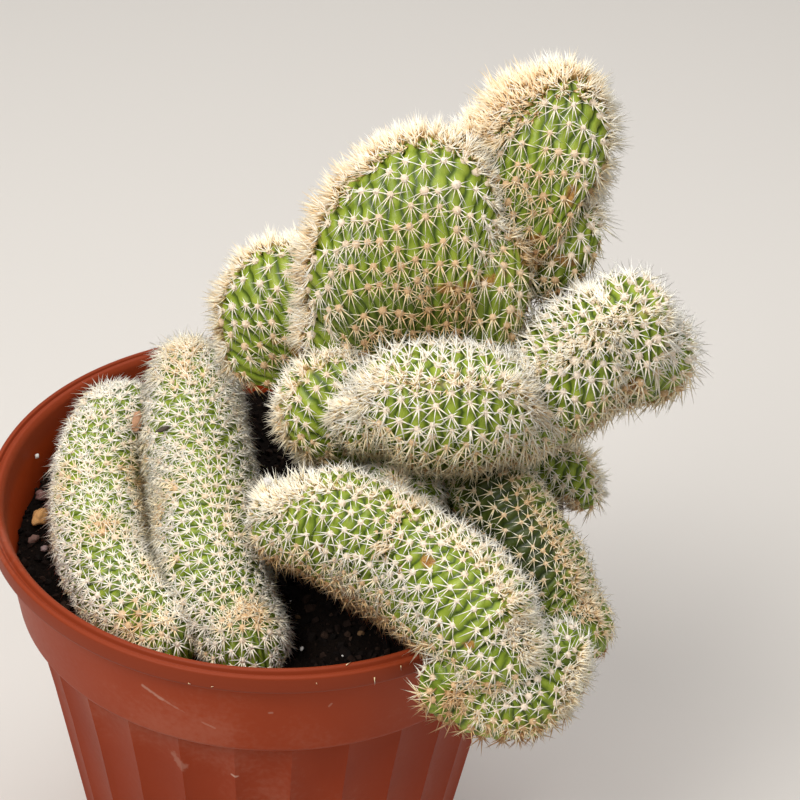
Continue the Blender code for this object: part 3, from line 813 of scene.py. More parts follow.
# Dry, corky places on the skin: from, to and how wide, in millimetres
corkySpots = [
    ((36.6, -14, 183.3), (46.5, -10.5, 183.6), 1.9), ((46.5, -10.5, 183.6), (56.8, -2.2, 186), 1.9),
    ((56.1, -1.9, 189.3), (58, -2, 192), 1.5), ((64, -1.6, 200.5), (64.6, -1.3, 203.5), 2.0),
    ((59.5, -1.9, 198), (59.5, -1.9, 198.6), 1.2), ((81.4, -18.8, 162.8), (82, -19.2, 165), 2.6),
    ((71.4, -18.8, 152.1), (72.2, -18.8, 152.6), 1.5), ((4.4, -3.4, 157.8), (5.6, -3.2, 155.4), 2.4),
    ((-0.9, -2.6, 159.4), (0, -2.6, 159.8), 1.1), ((36.8, -57.8, 141.4), (38.2, -58.3, 140.5), 1.9),
    ((32, -56.1, 137.4), (31.6, -57, 135.8), 0.9), ((14.1, -48.1, 134.8), (15.2, -48.3, 134.8), 1.3),
    ((40.2, -66, 130.4), (40.7, -66.2, 130.6), 0.9), ((46.7, -70.6, 128.5), (47.9, -70.9, 128.7), 1.1),
    ((44.8, -69.8, 113.9), (46.7, -69.9, 114.1), 0.9), ((60, -2, 186), (66.7, -1.1, 184.6), 1.7),
    ((58.8, -1.9, 184.5), (57.5, -2, 180.5), 1.6), ((43.4, -12.5, 180.3), (36, -14, 178.5), 1.4),
]
# Skin painted darker: the first stroke is painted shade under the lobes above it, the second is
# painted shade on the left stem's lower half, and the last two darken the skin by the corky places.
# From, to and how wide, in millimetres, and how much
shadeAndDarkSkin = [
    ((50, -27, 137), (60, -36, 126), 14, 0.85), ((-38, -24, 96), (-8, -44, 100), 24, 0.4),
    ((13, -12, 172), (43, -12, 175), 10, 0.45), ((56, -2, 180), (67, -1, 178), 10, 0.45),
]


def skinLooks(wire):
    ridge = meshValue(wire, "ridge")
    felt = meshValue(wire, "felt")
    mottle = noise(wire, 260.0, 3.0)
    grain = noise(wire, 1900.0, 2.0)
    # The green is darker in the rib grooves and lighter on the ridges: painted shade and light over
    # the ribs' relief, with mottling
    level = ridge * 0.75 + mottle * 0.5 - 0.12
    green = ramp(level, [(0.0, (0.025, 0.048, 0.002)), (0.35, (0.085, 0.135, 0.006)),
                         (0.7, (0.185, 0.262, 0.014)), (1.0, (0.31, 0.385, 0.04))])
    rough = (mottle - 0.5) * 0.003
    cork = None
    for start, end, width in corkySpots:
        spot = stroke(wire, start, end, width * mm, rough)
        cork = spot if cork is None else cork.maths("MAXIMUM", cork, spot)
    corky = ramp(grain, [(0.35, (0.3, 0.1, 0.02)), (0.65, (0.52, 0.27, 0.08))])
    skin = mixed(cork * 0.85, green, corky)
    # Painted shade along the first two strokes; the last two only darken the skin
    for start, end, width, weight in shadeAndDarkSkin:
        dark = stroke(wire, start, end, width * mm, rough) * weight
        skin = mixed(dark, skin, colour(0.01, 0.018, 0.002))
    skin = mixed(felt, skin, colour(0.74, 0.56, 0.27))
    return {"Base Color": skin, "Normal": bumps(grain, 0.25, 0.0003)}


def spineLooks(wire):
    # warm holds the spines' own golden and brown colour, with painted shade added where they face down
    # or lie in shaded gaps
    warm = meshValue(wire, "warm")
    onSpine = meshValue(wire, "along")
    lot = meshValue(wire, "lot")
    level = warm + lot * 0.16 - 0.08
    body = ramp(level, [(0.0, (0.93, 0.87, 0.74)), (0.3, (0.95, 0.78, 0.45)),
                        (0.6, (0.76, 0.48, 0.2)), (1.0, (0.3, 0.13, 0.045))])
    tip = ramp(level, [(0.0, (0.98, 0.96, 0.9)), (0.4, (0.97, 0.9, 0.72)),
                       (0.7, (0.85, 0.62, 0.34)), (1.0, (0.5, 0.3, 0.14))])
    return {"Base Color": mixed(between(onSpine, 0.1, 0.8), body, tip)}


def woolLooks(wire):
    warm = meshValue(wire, "warm")
    fluff = noise(wire, 4200.0, 3.0)
    level = warm + fluff * 0.3 - 0.15
    wool = ramp(level, [(0.0, (0.93, 0.81, 0.67)), (0.4, (0.76, 0.52, 0.29)),
                        (1.0, (0.36, 0.19, 0.08))])
    return {"Base Color": wool, "Normal": bumps(fluff, 0.8, 0.0003)}


skinFinish = material("cactusSkin", {"Roughness": 0.45, "Specular IOR Level": 0.35}, skinLooks)
spineFinish = material("spines", {"Roughness": 0.45}, spineLooks)
woolFinish = material("wool", {"Roughness": 0.95}, woolLooks)


def paint(item, finish):
    item.data.materials.clear()
    item.data.materials.append(finish)


def pointObject(name, points, vectors, numbers):
    mesh = bpy.data.meshes.new(name)
    mesh.from_pydata(points, [], [])
    for key, values in vectors.items():
        made = mesh.attributes.new(key, "FLOAT_VECTOR", "POINT")
        made.data.foreach_set("vector", np.asarray(values, np.float32).ravel())
    for key, values in numbers.items():
        putAttribute(mesh, key, values)
    return newObject(name, mesh)


# Bristles along the crest line: how far tufts go over a lobe's ends, and half the seam's width.
crestBrush = dict(overEnd=0.8, seamHalf=1.7 * mm, lowest=101 * mm, clearance=1.3 * mm)
# Two layers of them: tufts on a square metre, bristles in a tuft, their length and how much longer
# they are in a wide band, and how golden they are at the crest line, the edge and the root line.
brushLayers = {
    "Clumps": dict(tufts=0.36 / mm ** 2, bristles=5, shortest=4.2 * mm, longer=0.34,
                   radius=0.33 * mm, spread=0.5, lean=0.25, droop=0.45,
                   warm=1.2, edgeWarm=1.0, fringeWarm=0.72, fringeLength=0.75),
    "Fill": dict(tufts=0.95 / mm ** 2, bristles=3, shortest=2.9 * mm, longer=0.24,
                 radius=0.26 * mm, spread=0.5, lean=0.5, droop=0.6,
                 warm=1.35, edgeWarm=1.15, fringeWarm=0.8, fringeLength=0.8),
}


# A point of a lobe's skin at a run along it, over the ends too, and at an angle from the crest.
def brushPoint(lobe, run, ends, angle):
    over = min(0.98, max(-run / ends[0], (run - lobe.length) / ends[1], 0.0))
    shift = over * (-ends[0] if run < 0 else ends[1])
    return lobe.skin(lobe.placeOf([run]), np.array([angle]), math.sqrt(1 - over ** 2), shift)[0]


# Tufts along the crest line, the root line and the seam: point, droop, warmth and length.
def brushPlaces(lobe, layer, draw):
    shape = lobe.shape
    overEnd = crestBrush["overEnd"]
    ends = lobe.read([0, 1])["width"]
    thick = lobe.read([0.5])["width"][0]
    total = lobe.length + overEnd * (ends[0] + ends[1])
    widest = max(shape["band"]) * mm
    golds = shape["gold"] or [shape["warm"]]
    places = []

    def put(run, angle, droop, warm, length):
        point = brushPoint(lobe, run, ends, angle)
        down = unit(brushPoint(lobe, run, ends, angle + math.copysign(0.03, angle)) - point)
        places.append((point, down * droop, warm, length))

    for _ in range(round(total * 2 * widest * layer["tufts"] * shape["dense"])):
        run = draw.uniform(0, total) - overEnd * ends[0]
        half = float(lobe.at("band", min(max(run, 0.0), lobe.length)))
        away = min(1.0, abs(draw.gauss(0, 0.6))) * half
        side = draw.choice((-1, 1))
        if draw.uniform(0, widest) < half:
            share = layer["warm"] + (layer["edgeWarm"] - layer["warm"]) * away / half
            gold = np.interp(run / lobe.length, np.linspace(0, 1, len(golds)), golds)
            length = layer["shortest"] + layer["longer"] * half
            angle = (side * away + lobe.at("shift", run)) / thick
            put(run, angle, layer["droop"] * away / half, gold * share, length)
    fringe = shape["fringe"] * mm
    for _ in range(round(total * 2 * fringe * layer["tufts"] * 0.7)):
        run = draw.uniform(0, total) - overEnd * ends[0]
        angle = math.pi + draw.gauss(0, 0.6) * fringe / thick
        length = (layer["shortest"] + layer["longer"] * fringe) * layer["fringeLength"]
        put(run, angle, 0.0, layer["fringeWarm"], length)
    if shape["seam"]:
        place, down = shape["seam"]
        middle = float(np.interp(place, lobe.places, lobe.run))
        for _ in range(round(2 * 2 * crestBrush["seamHalf"] * down * mm * layer["tufts"])):
            run = middle + draw.gauss(0, 0.6) * crestBrush["seamHalf"]
            angle = draw.choice((-1, 1)) * draw.uniform(0, down * mm / thick)
            put(run, angle, 0.2, shape["warm"] * layer["warm"] + 0.1, layer["shortest"])
    return places


def dressCrest(lobe, surface, name, draw):
    layer = brushLayers[name]
    rows = []
    for point, droop, warm, length in brushPlaces(lobe, layer, draw):
        place, facing, distance = surface.closest(point)
        if distance > crestBrush["clearance"] or place[2] < crestBrush["lowest"]:
            continue
        lean = np.array([draw.gauss(0, 0.6) for _ in range(3)]) * layer["lean"]
        facing = unit(facing + droop + lean)
        rows.append((place, facing, unit(np.cross(facing, [0.3, 0.2, 0.9])), warm, length))
    if not rows:
        return None
    places, facings, downs, warms, lengths = zip(*rows)
    size = np.array([length * draw.uniform(0.7, 1.15) for length in lengths])
    warm = np.array([warm + draw.uniform(-0.08, 0.08) for warm in warms]) + brownAndShadeAt(places)
    numbers = dict(size=size, warm=warm, turn=np.array([draw.uniform(0, 6.28) for _ in rows]),
                   rise=np.zeros(len(rows)), hang=np.zeros(len(rows)), many=np.ones(len(rows)))
    vectors = dict(facing=facings, downward=downs)
    brush = pointObject(lobe.name + name, places, vectors, numbers)
    return grow(brush, spineTree, dict(
        loneSpines, Material=spineFinish, Radials=layer["bristles"], Radius=layer["radius"],
        Seed=40 + len(lobe.name), **{"Low tilt": math.pi / 2 - layer["spread"]}))


# The areoles of a lobe that show: on the joined skin, not in another lobe, clear of pot and soil.
areoleDress = dict(lowest=99 * mm, clearance=1.1 * mm, cell=3 * mm, oldReach=22 * mm)


def dressLobe(lobe, surface, draw):
    shape = lobe.shape
    reach = shape["reach"] * mm
    cellSize = areoleDress["cell"]
    rows = []
    taken = {}
    least = skinShape["leastGap"] * shape["areole"] * mm
    for point, down, away in areolePlaces(lobe, surface, draw):
        place, facing, distance = surface.closest(point)
        if distance > areoleDress["clearance"] or place[2] < areoleDress["lowest"]:
            continue
        gap = least * (0.45 + 0.55 * min(1.0, away / reach))
        cell = tuple(int(c // cellSize) for c in place)
        near = [other for key in neighbours(cell) for other in taken.get(key, ())]
        if any(np.linalg.norm(place - other) < gap for other in near):
            continue
        taken.setdefault(cell, []).append(place)
        down = unit(down - np.dot(down, facing) * facing)
        rows.append((place, facing, down, away))
    places, facings, downs, away = zip(*rows)
    away = np.array(away)
    # Areoles that face down get browner spines and wool: partly old stain, partly painted shade under
    # the lobes
    under = np.array([min(1.0, max(0.0, 0.12 - 1.6 * facing[2])) for facing in facings])
    young = np.clip(1 - away / reach, 0, 1)
    old = np.clip((away - reach) / areoleDress["oldReach"], 0, 1)
    patchy = shape["patchy"] * np.array([fractal(Vector(place) * 90) for place in places])
    size = (1 - 0.12 * young) * (1 + patchy) * np.array([draw.uniform(0.85, 1.15) for _ in rows])
    warm = shape["base"] + 0.4 * shape["warm"] * young + shape["tan"] * under
    warm = warm + np.maximum(0, patchy) + shape["stain"] * old + brownAndShadeAt(places)
    numbers = dict(size=size, warm=warm, turn=np.array([draw.uniform(0, 6.28) for _ in rows]),
                   rise=shape["bunch"] * young ** 0.8, hang=1 - young,
                   many=1 - (1 - shape["sparse"]) * young)
    vectors = dict(facing=facings, downward=downs)
    stars = pointObject(lobe.name + "Spines", places, vectors, numbers)
    grow(stars, spineTree, {"Material": spineFinish, "Length": shape["spine"] * mm,
                            "Radials": shape["spines"], "Radius": shape["needle"] * mm,
                            "Seed": len(lobe.name)})
    # The wool is browner still where it faces down, partly stain and partly painted shade, and where
    # it is old
    numbers["warm"] = numbers["warm"] + 0.25 * under + 0.16 * old
    numbers["size"] = numbers["size"] * (1 + 0.15 * young)
    wool = pointObject(lobe.name + "Wool", places, vectors, numbers)
    grow(wool, woolTree, {"Material": woolFinish, "Radius": shape["pad"] * mm})
    brushes = [dressCrest(lobe, surface, name, draw) for name in brushLayers]
    dress = [stars, wool] + [brush for brush in brushes if brush]
    faces = [len(item.data.polygons) for item in dress]
    say("%s: %d areoles, faces %s" % (lobe.name, len(rows), faces))
    return dress


def neighbours(cell):
    return [(cell[0] + i, cell[1] + j, cell[2] + k)
            for i in (-1, 0, 1) for j in (-1, 0, 1) for k in (-1, 0, 1)]


draw = random.Random(4)
for lobes, skin in ((leftLobes, leftSkin), (mainLobes, mainSkin)):
    surface = Surface(skin)
    paint(skin, skinFinish)
    skin.data.shade_smooth()
    triangles = sum(len(face.vertices) - 2 for face in skin.data.polygons)
    say("%s: %d triangles" % (skin.name, triangles))
    for lobe in lobes:
        for item in dressLobe(lobe, surface, draw):
            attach(item, "root")
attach(leftSkin, "root")
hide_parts("left_stem")
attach(mainSkin, "root")
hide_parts("main_stem")


# The pot, in the part's own sizes, with rounded edges and a finer rim.
potShape = dict(
    height=115 * mm, rim=70 * mm, lip=66 * mm, roll=5.5 * mm, bandTop=66.6 * mm,
    bandFoot=63.2 * mm, bandFootHeight=86.7 * mm, fluteTop=60.2 * mm, base=45.5 * mm,
    flutes=28, fluteDepth=1.5 * mm, fluteTurn=math.radians(9.1), fluteColumns=10,
    fluteRoundness=0.75, wall=1.9 * mm, floor=2.4 * mm, drains=6, drainRadius=4 * mm,
    drainCircle=31 * mm, sharpEdge=math.radians(38))


# Rounds the corners of an outline of (radius, height, rounding).
def rounded(outline, steps=4):
    points = []
    for i, (r, z, size) in enumerate(outline):
        here = np.array([r, z])
        if size == 0 or i in (0, len(outline) - 1):
            points.append(here)
            continue
        before = np.array(outline[i - 1][:2]) - here
        after = np.array(outline[i + 1][:2]) - here
        size = min(size, 0.49 * np.linalg.norm(before), 0.49 * np.linalg.norm(after))
        a = here + size * unit(before)
        b = here + size * unit(after)
        for t in np.linspace(0, 1, steps + 1):
            points.append((1 - t) ** 2 * a + 2 * t * (1 - t) * here + t ** 2 * b)
    return points


# A closed round body: rings of the profile, with flutes pressed in where depthAt() gives a depth.
def spun(name, profile, columns, depthAt, poles):
    steps = np.arange(columns)
    angles = -math.pi / 2 + potShape["fluteTurn"] + steps * 2 * math.pi / columns
    waves = np.abs(np.sin(steps * math.pi / potShape["fluteColumns"]))
    flutes = waves ** potShape["fluteRoundness"]
    rings = []
    for r, z in profile:
        radius = np.full(columns, r) - depthAt(r, z) * flutes
        heights = np.full(columns, z)
        rings.append(np.stack([radius * np.cos(angles), radius * np.sin(angles), heights], axis=-1))
    return newObject(name, closedGrid(name, dict(points=np.array(rings), poles=poles)))


def makePot():
    p = SimpleNamespace(**potShape)
    rollFoot = p.height - p.roll

    def flank(share):
        return (p.base + share * (p.fluteTop - p.base), share * p.bandFootHeight, 0)

    # From the middle of the base up the outside and over the rim: radius, height, rounding
    outside = [
        (p.base - 3 * mm, 0.0, 0), (p.base, 0.0, 0.8 * mm),
        flank(0.25), flank(0.5), flank(0.75),
        (p.fluteTop - 0.3 * mm, p.bandFootHeight - 4 * mm, 0),
        (p.fluteTop, p.bandFootHeight - 1.6 * mm, 0.8 * mm),
        (p.bandFoot, p.bandFootHeight, 1.2 * mm),
        (p.bandTop, rollFoot, 0.6 * mm), (p.rim, rollFoot + 0.3 * mm, 1 * mm),
        (p.rim, p.height - 0.5 * mm, 1.1 * mm),
        (p.rim - 1.1 * mm, p.height - 0.45 * mm, 0.25 * mm),
        (p.rim - 1.45 * mm, p.height - 1.25 * mm, 0.2 * mm),
        (p.rim - 1.9 * mm, p.height - 1.2 * mm, 0.2 * mm),
        (p.rim - 2.3 * mm, p.height - 0.1 * mm, 0.5 * mm),
        (p.lip + 0.8 * mm, p.height, 1 * mm),
        (p.lip - 0.2 * mm, p.height - 1.2 * mm, 1 * mm),
    ]
    inside = [
        (p.bandFoot - p.wall, p.bandFootHeight + 0.6 * mm, 1 * mm),
        (p.fluteTop - p.fluteDepth - p.wall, p.bandFootHeight - 2.2 * mm, 1 * mm),
        (p.base - p.fluteDepth - p.wall, p.floor, 1 * mm), (20 * mm, p.floor, 0),
    ]

    def depthAt(r, z):
        leastRadius = p.base - 1 * mm + (z - 4 * mm) * 0.168
        return p.fluteDepth if z < p.bandFootHeight - 1 * mm and r > leastRadius else 0.0

    pot = spun("potShell", rounded(outside + inside), p.flutes * p.fluteColumns, depthAt,
               [np.array((0, 0, 0)), np.array((0, 0, p.floor))])
    cutter = None
    for k in range(p.drains):
        angle = 2 * math.pi * (k + 0.5) / p.drains
        made = bmesh.new()
        bmesh.ops.create_cone(made, cap_ends=True, segments=24, radius1=p.drainRadius,
                              radius2=p.drainRadius, depth=3 * p.floor)
        spot = (p.drainCircle * math.cos(angle), p.drainCircle * math.sin(angle), p.floor / 2)
        bmesh.ops.translate(made, verts=made.verts, vec=spot)
        if cutter is None:
            cutter = bpy.data.meshes.new("drains")
        else:
            made.from_mesh(cutter)
        made.to_mesh(cutter)
        made.free()
    drains = newObject("drains", cutter)
    step = pot.modifiers.new("drains", "BOOLEAN")
    step.operation = "DIFFERENCE"
    step.solver = "MANIFOLD"
    step.object = drains
    settle(pot)
    bpy.data.objects.remove(drains, do_unlink=True)
    pot.data.shade_smooth()
    pot.data.set_sharp_from_angle(angle=p.sharpEdge)
    return pot


# Scuffs and dust on the pot: from, to and how wide, in millimetres, and how strong
scuffs = [
    ((-40.5, -43.6, 82.5), (-38.5, -46, 84.5), 0.8, 0.5),
    ((-40.9, -43.2, 81), (-41.2, -42.6, 76), 0.6, 0.35),
    ((-24.5, -60.6, 102), (-20, -61.9, 99.5), 0.7, 0.42),
    ((-20, -61.9, 99.5), (-8, -63.6, 93.5), 0.5, 0.25),
    ((-19, -55.5, 76), (-17, -55.9, 73.5), 2.2, 0.22),
    ((-14, -56.8, 74), (-5, -57.8, 73.6), 0.5, 0.4),
    ((-6, -57.8, 74), (-3, -58, 73.4), 0.5, 0.6),
    ((4.6, -65.1, 100.3), (5, -65.1, 100.4), 0.45, 0.3),
    ((17.7, -63.1, 101.6), (18.2, -62.9, 102.4), 0.4, 0.3),
    ((-2, -67, 108.5), (6, -67, 107.5), 1.2, 0.12),
]


def potLooks(wire):
    broad = noise(wire, 22.0, 3.0)
    fine = noise(wire, 700.0, 4.0)
    height = upright(objectPlace(wire))
    # The body is lighter towards the top, painted light from above, and darker over the rim's top
    top = between(height, 0.07, 0.11)
    rim = between(height, 0.107, 0.1105)
    body = ramp(broad * 0.7 + top * 0.3, [(0.25, (0.235, 0.028, 0.005)),
                                          (0.75, (0.335, 0.046, 0.0095))])
    body = mixed(rim * 0.75, body, colour(0.2, 0.033, 0.012))
    dust = between(broad + fine * 0.3, 0.68, 0.9) * 0.1
    for start, end, width, weight in scuffs:
        mark = stroke(wire, start, end, width * mm, (fine - 0.5) * width * mm * 1.6)
        dust = dust.maths("MAXIMUM", dust, mark * weight)
    return {"Base Color": mixed(dust, body, colour(0.62, 0.42, 0.33)),
            "Roughness": 0.4 + dust * 0.8 + fine * 0.12, "Normal": bumps(fine, 0.12, 0.0002)}


pot = makePot()
paint(pot, material("terracottaPlastic", {"Specular IOR Level": 0.1}, potLooks))
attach(pot, "root")
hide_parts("pot")
say("pot: %d faces" % len(pot.data.polygons))


# Soil: a rough top with grains of several kinds
soilShape = dict(level=100 * mm, relief=1.2 * mm, rings=60, columns=180, clearance=0.35 * mm,
                 sharpEdge=math.radians(50))


# How far the soil reaches at a height, just clear of the pot's wall.
def innerRadius(height):
    p = SimpleNamespace(**potShape)
    wall = [(p.floor, p.base - p.fluteDepth - p.wall),
            (p.bandFootHeight - 2.2 * mm, p.fluteTop - p.fluteDepth - p.wall),
            (p.bandFootHeight + 0.6 * mm, p.bandFoot - p.wall),
            (p.height - 1.1 * mm, p.lip - 0.9 * mm)]
    return np.interp(height, [z for z, _ in wall], [r for _, r in wall]) - soilShape["clearance"]


def makeSoil():
    level = soilShape["level"]
    bottom = potShape["floor"] + soilShape["clearance"]
    columns = soilShape["columns"]
    angles = np.arange(columns) * 2 * math.pi / columns
    rings = []
    for r in np.linspace(0, innerRadius(level), soilShape["rings"] + 1)[1:]:
        ring = []
        for angle in angles:
            spot = Vector((r * math.cos(angle), r * math.sin(angle), 0))
            rise = (fractal(spot * 70) * 0.9 + fractal(spot * 260 + Vector((5, 3, 1))) * 0.45)
            ring.append((spot.x, spot.y, level + soilShape["relief"] * rise))
        rings.append(ring)
    foot = potShape["bandFootHeight"]
    for z in (foot + 0.6 * mm, foot - 2.2 * mm, bottom):
        r = innerRadius(z)
        rings.append([(r * math.cos(a), r * math.sin(a), z) for a in angles])
    poles = [np.array([0, 0, level]), np.array([0, 0, bottom])]
    soil = newObject("soilBed", closedGrid("soilBed", dict(points=np.array(rings), poles=poles)))
    soil.data.shade_smooth()
    soil.data.set_sharp_from_angle(angle=soilShape["sharpEdge"])
    return soil


# Small lumpy stones of many sizes on whatever faces up.
def grainNodes(wires):
    start = wires["Geometry"]
    spacing = wires["Spacing"]
    up = upright(start.node("GeometryNodeInputNormal"))
    top = up.node("FunctionNodeCompare", {"data_type": "FLOAT", "operation": "GREATER_THAN"},
                  {0: up, 1: 0.3})
    points = start.node("GeometryNodeDistributePointsOnFaces", {"distribute_method": "POISSON"}, {
        "Mesh": start, "Selection": top, "Distance Min": spacing,
        "Density Max": 1.0 / (spacing * spacing), "Seed": wires["Seed"]})
    stone = start.node("GeometryNodeMeshIcoSphere", None,
                       {"Radius": 1.0, "Subdivisions": wires["Detail"]})
    lumps = stone.node("ShaderNodeTexNoise", {"noise_dimensions": "4D"},
                       {"W": 3.1, "Scale": 1.3}, 1)
    lumps = scaled(vectorMaths("SUBTRACT", lumps, (0.5, 0.5, 0.5)), 1.3)
    stone = stone.node("GeometryNodeSetPosition", None, {"Geometry": stone, "Offset": lumps})
    points = stored(points, "lot", chance(wires, 0.0, 1.0, 1))
    size = wires["Small"] + chance(wires, 0.0, 1.0, 2) ** 2.5 * (wires["Large"] - wires["Small"])
    turn = joined(*(chance(wires, 0.0, 6.28, order) for order in (3, 4, 5)))
    turn = turn.node("FunctionNodeEulerToRotation", None, {0: turn})
    scale = joined(size, size * chance(wires, 0.6, 1.0, 6), size * chance(wires, 0.5, 0.9, 7))
    return placed(wires, points, stone, turn, scale, smooth=False)


grainTree = nodeGroup("grains", {"Spacing": 1.2 * mm, "Small": 0.4 * mm, "Large": 1.6 * mm,
                                 "Detail": 1, "Seed": 1}, grainNodes)


def soilLooks(wire):
    fine = noise(wire, 900.0, 5.0)
    broad = noise(wire, 130.0, 3.0)
    body = ramp(fine * 0.6 + broad * 0.4, [(0.3, (0.001, 0.0006, 0.0004)),
                                           (0.7, (0.007, 0.0035, 0.002))])
    return {"Base Color": body, "Normal": bumps(fine, 0.9, 0.0008)}


def grainLooks(stops):
    def build(wire):
        fine = noise(wire, 1500.0, 4.0)
        body = ramp(meshValue(wire, "lot") * 0.85 + fine * 0.3 - 0.075, stops)
        return {"Base Color": body, "Normal": bumps(fine, 0.6, 0.0003)}
    return build


soil = makeSoil()
paint(soil, material("soil", {"Roughness": 0.95, "Specular IOR Level": 0.1}, soilLooks))
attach(soil, "root")
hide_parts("soil")
grainKinds = {
    "soilGrains": dict(
        values={"Spacing": 1.25 * mm, "Small": 0.35 * mm, "Large": 1.9 * mm, "Seed": 2},
        stops=[(0.0, (0.0015, 0.0008, 0.0005)), (0.6, (0.006, 0.0028, 0.0018)),
               (0.86, (0.016, 0.008, 0.005)), (1.0, (0.06, 0.035, 0.023))]),
    "pumice": dict(
        values={"Spacing": 15 * mm, "Small": 0.9 * mm, "Large": 2.4 * mm, "Detail": 2, "Seed": 3},
        stops=[(0.0, (0.03, 0.018, 0.01)), (0.5, (0.09, 0.05, 0.025)), (1.0, (0.3, 0.17, 0.08))]),
    "perlite": dict(
        values={"Spacing": 13 * mm, "Small": 0.25 * mm, "Large": 0.8 * mm, "Detail": 2, "Seed": 9},
        stops=[(0.0, (0.45, 0.42, 0.38)), (1.0, (0.75, 0.73, 0.7))]),
}
stoneSettings = {"Roughness": 0.9, "Specular IOR Level": 0.15}
for name, kind in grainKinds.items():
    grains = newObject(name, soil.data.copy())
    finish = material(name, stoneSettings, grainLooks(kind["stops"]))
    grow(grains, grainTree, dict(kind["values"], Material=finish))
    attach(grains, "root")
    say("%s: %d faces" % (name, len(grains.data.polygons)))


# Grit caught in the spines or lying about: middle, way along, half sizes in millimetres, colour
looseGrit = [
    ((-36.7, 17.7, 119.2), (0.1, 0.5, 0.85), (1.3, 0.8, 2.6), (0.62, 0.34, 0.2)),
    ((-27.7, 0.8, 129.6), (0.85, 0.25, 0.35), (0.65, 0.55, 1.7), (0.09, 0.07, 0.055)),
    ((0.4, -31.9, 140.2), (0, 0, 1), (0.95, 0.9, 0.85), (0.85, 0.83, 0.8)),
    ((10, -43.5, 101.4), (0, 1, 0), (0.45, 0.5, 0.5), (0.8, 0.79, 0.77)),
    ((-58.0, -0.5, 101.8), (0.3, 1, 0), (2.1, 1.8, 3.1), (0.62, 0.33, 0.12)),
    ((-52.6, -6.6, 101.0), (1, 0.2, 0), (1.5, 1.2, 2.1), (0.13, 0.08, 0.065)),
    ((-56.5, 5.5, 101.0), (0.4, 1, 0), (1.3, 1.1, 1.9), (0.18, 0.1, 0.085)),
    ((-59.3, 8.6, 101.4), (1, 0.3, 0), (1.5, 1.4, 1.8), (0.2, 0.1, 0.09)),
    ((-54.8, 11.0, 101.3), (0.2, 1, 0), (1.3, 1.2, 1.5), (0.16, 0.085, 0.07)),
    ((-58.4, -9.0, 101.2), (1, 1, 0), (1.1, 1.0, 1.5), (0.18, 0.1, 0.08)),
    ((-55.2, -12.4, 101.2), (0, 0, 1), (0.9, 0.8, 0.8), (0.32, 0.23, 0.22)),
    ((-51.6, -13.6, 101.2), (0, 1, 0), (0.8, 0.8, 1.0), (0.26, 0.17, 0.16)),
    ((-49.6, -19.2, 101.2), (1, 0.6, 0), (1.5, 1.2, 1.8), (0.15, 0.1, 0.05)),
    ((-45.4, -25.0, 101.1), (1, 0, 0), (1.2, 1.1, 1.5), (0.06, 0.04, 0.03)),
    ((-61.6, 15.8, 108.2), (0, 0, 1), (0.5, 0.6, 0.6), (0.75, 0.73, 0.7)),
]
# Spines that were shed on the pot's rim: from and to, in millimetres
shedSpines = [
    ((27.6, -64.6, 112.4), (27.8, -64.5, 110.0)), ((33.3, -61.9, 114.0), (33.4, -61.9, 112.2)),
    ((21.2, -64.3, 115.2), (22.3, -63.0, 115.2)), ((-13.3, -68.9, 110.9), (-12.6, -69.0, 110.7)),
    ((-8.1, -69.7, 111.0), (-7.4, -69.8, 111.3)), ((15.0, -68.6, 113.2), (15.2, -68.6, 112.6)),
]


# One piece of all the loose grit, each bit a lumpy ball with its own shade.
def gritPiece():
    work = bmesh.new()
    shades = []
    for number, (middle, way, sizes, shade) in enumerate(looseGrit):
        made = bmesh.ops.create_icosphere(work, subdivisions=3, radius=1.0)["verts"]
        turn = Vector(way).to_track_quat("Z", "Y")
        for vert in made:
            bulge = 1 + 0.35 * fractal(vert.co * 1.4 + Vector((number * 7.0, 0, 0)))
            spot = Vector([c * bulge * s * mm for c, s in zip(vert.co, sizes)])
            vert.co = turn @ spot + Vector(middle) * mm
        shades += [shade + (1.0,)] * len(made)
    mesh = bpy.data.meshes.new("looseGrit")
    work.to_mesh(mesh)
    work.free()
    made = mesh.attributes.new("shade", "FLOAT_COLOR", "POINT")
    made.data.foreach_set("color", np.array(shades, np.float32).ravel())
    return newObject("looseGrit", mesh)


def gritLooks(wire):
    fine = noise(wire, 1800.0, 4.0)
    shade = wire.node("ShaderNodeAttribute", {"attribute_name": "shade"}, None, 0)
    return {"Base Color": mixed(fine * 0.5, shade, colour(0.05, 0.035, 0.03)),
            "Normal": bumps(fine, 0.5, 0.0003)}


grit = gritPiece()
paint(grit, material("looseGrit", stoneSettings, gritLooks))
grit.data.shade_smooth()
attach(grit, "root")
ways = [(Vector(end) - Vector(start)) for start, end in shedSpines]
count = len(ways)
shed = pointObject(
    "shedSpines", [tuple(Vector(start) * mm) for start, _ in shedSpines],
    dict(facing=[tuple(way.normalized()) for way in ways], downward=[(0.6, 0.0, 0.8)] * count),
    dict(size=[way.length * mm for way in ways], warm=[0.3] * count, turn=[0.0] * count,
         rise=[0.0] * count, hang=[0.0] * count, many=[1.0] * count))
grow(shed, spineTree, dict(loneSpines, Material=spineFinish, Radials=1, Radius=0.16 * mm, Sink=0.0,
                           Seed=8))
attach(shed, "root")
say("loose bits: %d faces" % (len(grit.data.polygons) + len(shed.data.polygons)))


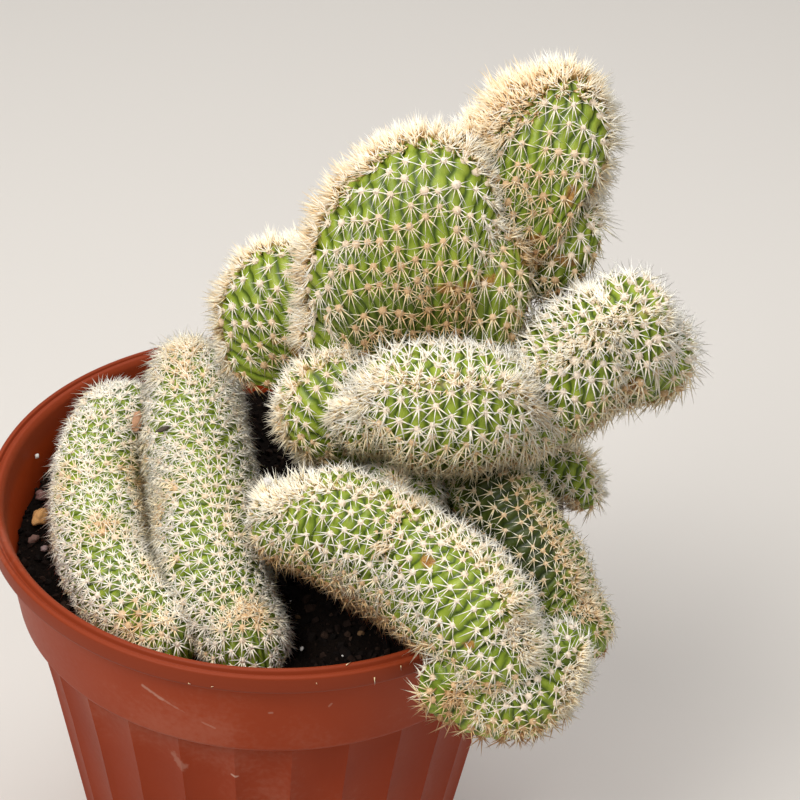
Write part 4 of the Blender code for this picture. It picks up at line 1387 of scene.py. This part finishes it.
# Camera, floor and light
eye = dict(place=(0.037, -0.469, 0.463), pitch=34.3, yaw=-1.0, roll=3.1, lens=108)
pitch, yaw, roll = (math.radians(eye[key]) for key in ("pitch", "yaw", "roll"))
forward = Vector((math.sin(yaw) * math.cos(pitch), math.cos(yaw) * math.cos(pitch),
                  -math.sin(pitch)))
right = Vector((math.cos(yaw), -math.sin(yaw), 0))
upward = right.cross(forward)
right, upward = (math.cos(roll) * right + math.sin(roll) * upward,
                 math.cos(roll) * upward - math.sin(roll) * right)
lens = bpy.data.cameras.new("camera")
lens.lens = eye["lens"]
lens.sensor_width = 36
camera = newObject("camera", lens)
camera.matrix_world = Matrix(((right.x, upward.x, -forward.x, eye["place"][0]),
                              (right.y, upward.y, -forward.y, eye["place"][1]),
                              (right.z, upward.z, -forward.z, eye["place"][2]), (0, 0, 0, 1)))
bpy.context.scene.camera = camera

lights = {
    "key": dict(place=(-0.42, -0.52, 1.0), size=0.6, power=12.0, tint=(1.0, 0.98, 0.96)),
    "fill": dict(place=(0.72, -0.46, 0.95), size=0.8, power=2.7, tint=(0.98, 0.98, 1.0)),
    "top": dict(place=(0.1, 0.4, 1.1), size=0.8, power=6.6, tint=(1.0, 1.0, 1.0)),
}
for name, looks in lights.items():
    lamp = bpy.data.lights.new(name, "AREA")
    lamp.size = looks["size"]
    lamp.energy = looks["power"]
    lamp.color = looks["tint"]
    made = newObject(name, lamp)
    made.location = looks["place"]
    aim = Vector((0.02, -0.01, 0.12)) - made.location
    made.rotation_euler = aim.to_track_quat("-Z", "Y").to_euler()

world = bpy.data.worlds.new("studio")
world.use_nodes = True
sky = world.node_tree.nodes["Background"].inputs
sky["Color"].default_value = colour(1.0, 0.97, 0.94)
sky["Strength"].default_value = 0.22
bpy.context.scene.world = world
bpy.context.scene.view_settings.view_transform = "Standard"

floorMesh = bpy.data.meshes.new("floor")
floorMesh.from_pydata([(-3, -3, 0), (3, -3, 0), (3, 3, 0), (-3, 3, 0)], [], [(0, 1, 2, 3)])
floor = newObject("floor", floorMesh)
floorSettings = {"Base Color": colour(0.66, 0.63, 0.59), "Roughness": 0.9}
paint(floor, material("floor", floorSettings, lambda wire: {}))

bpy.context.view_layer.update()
say("done")
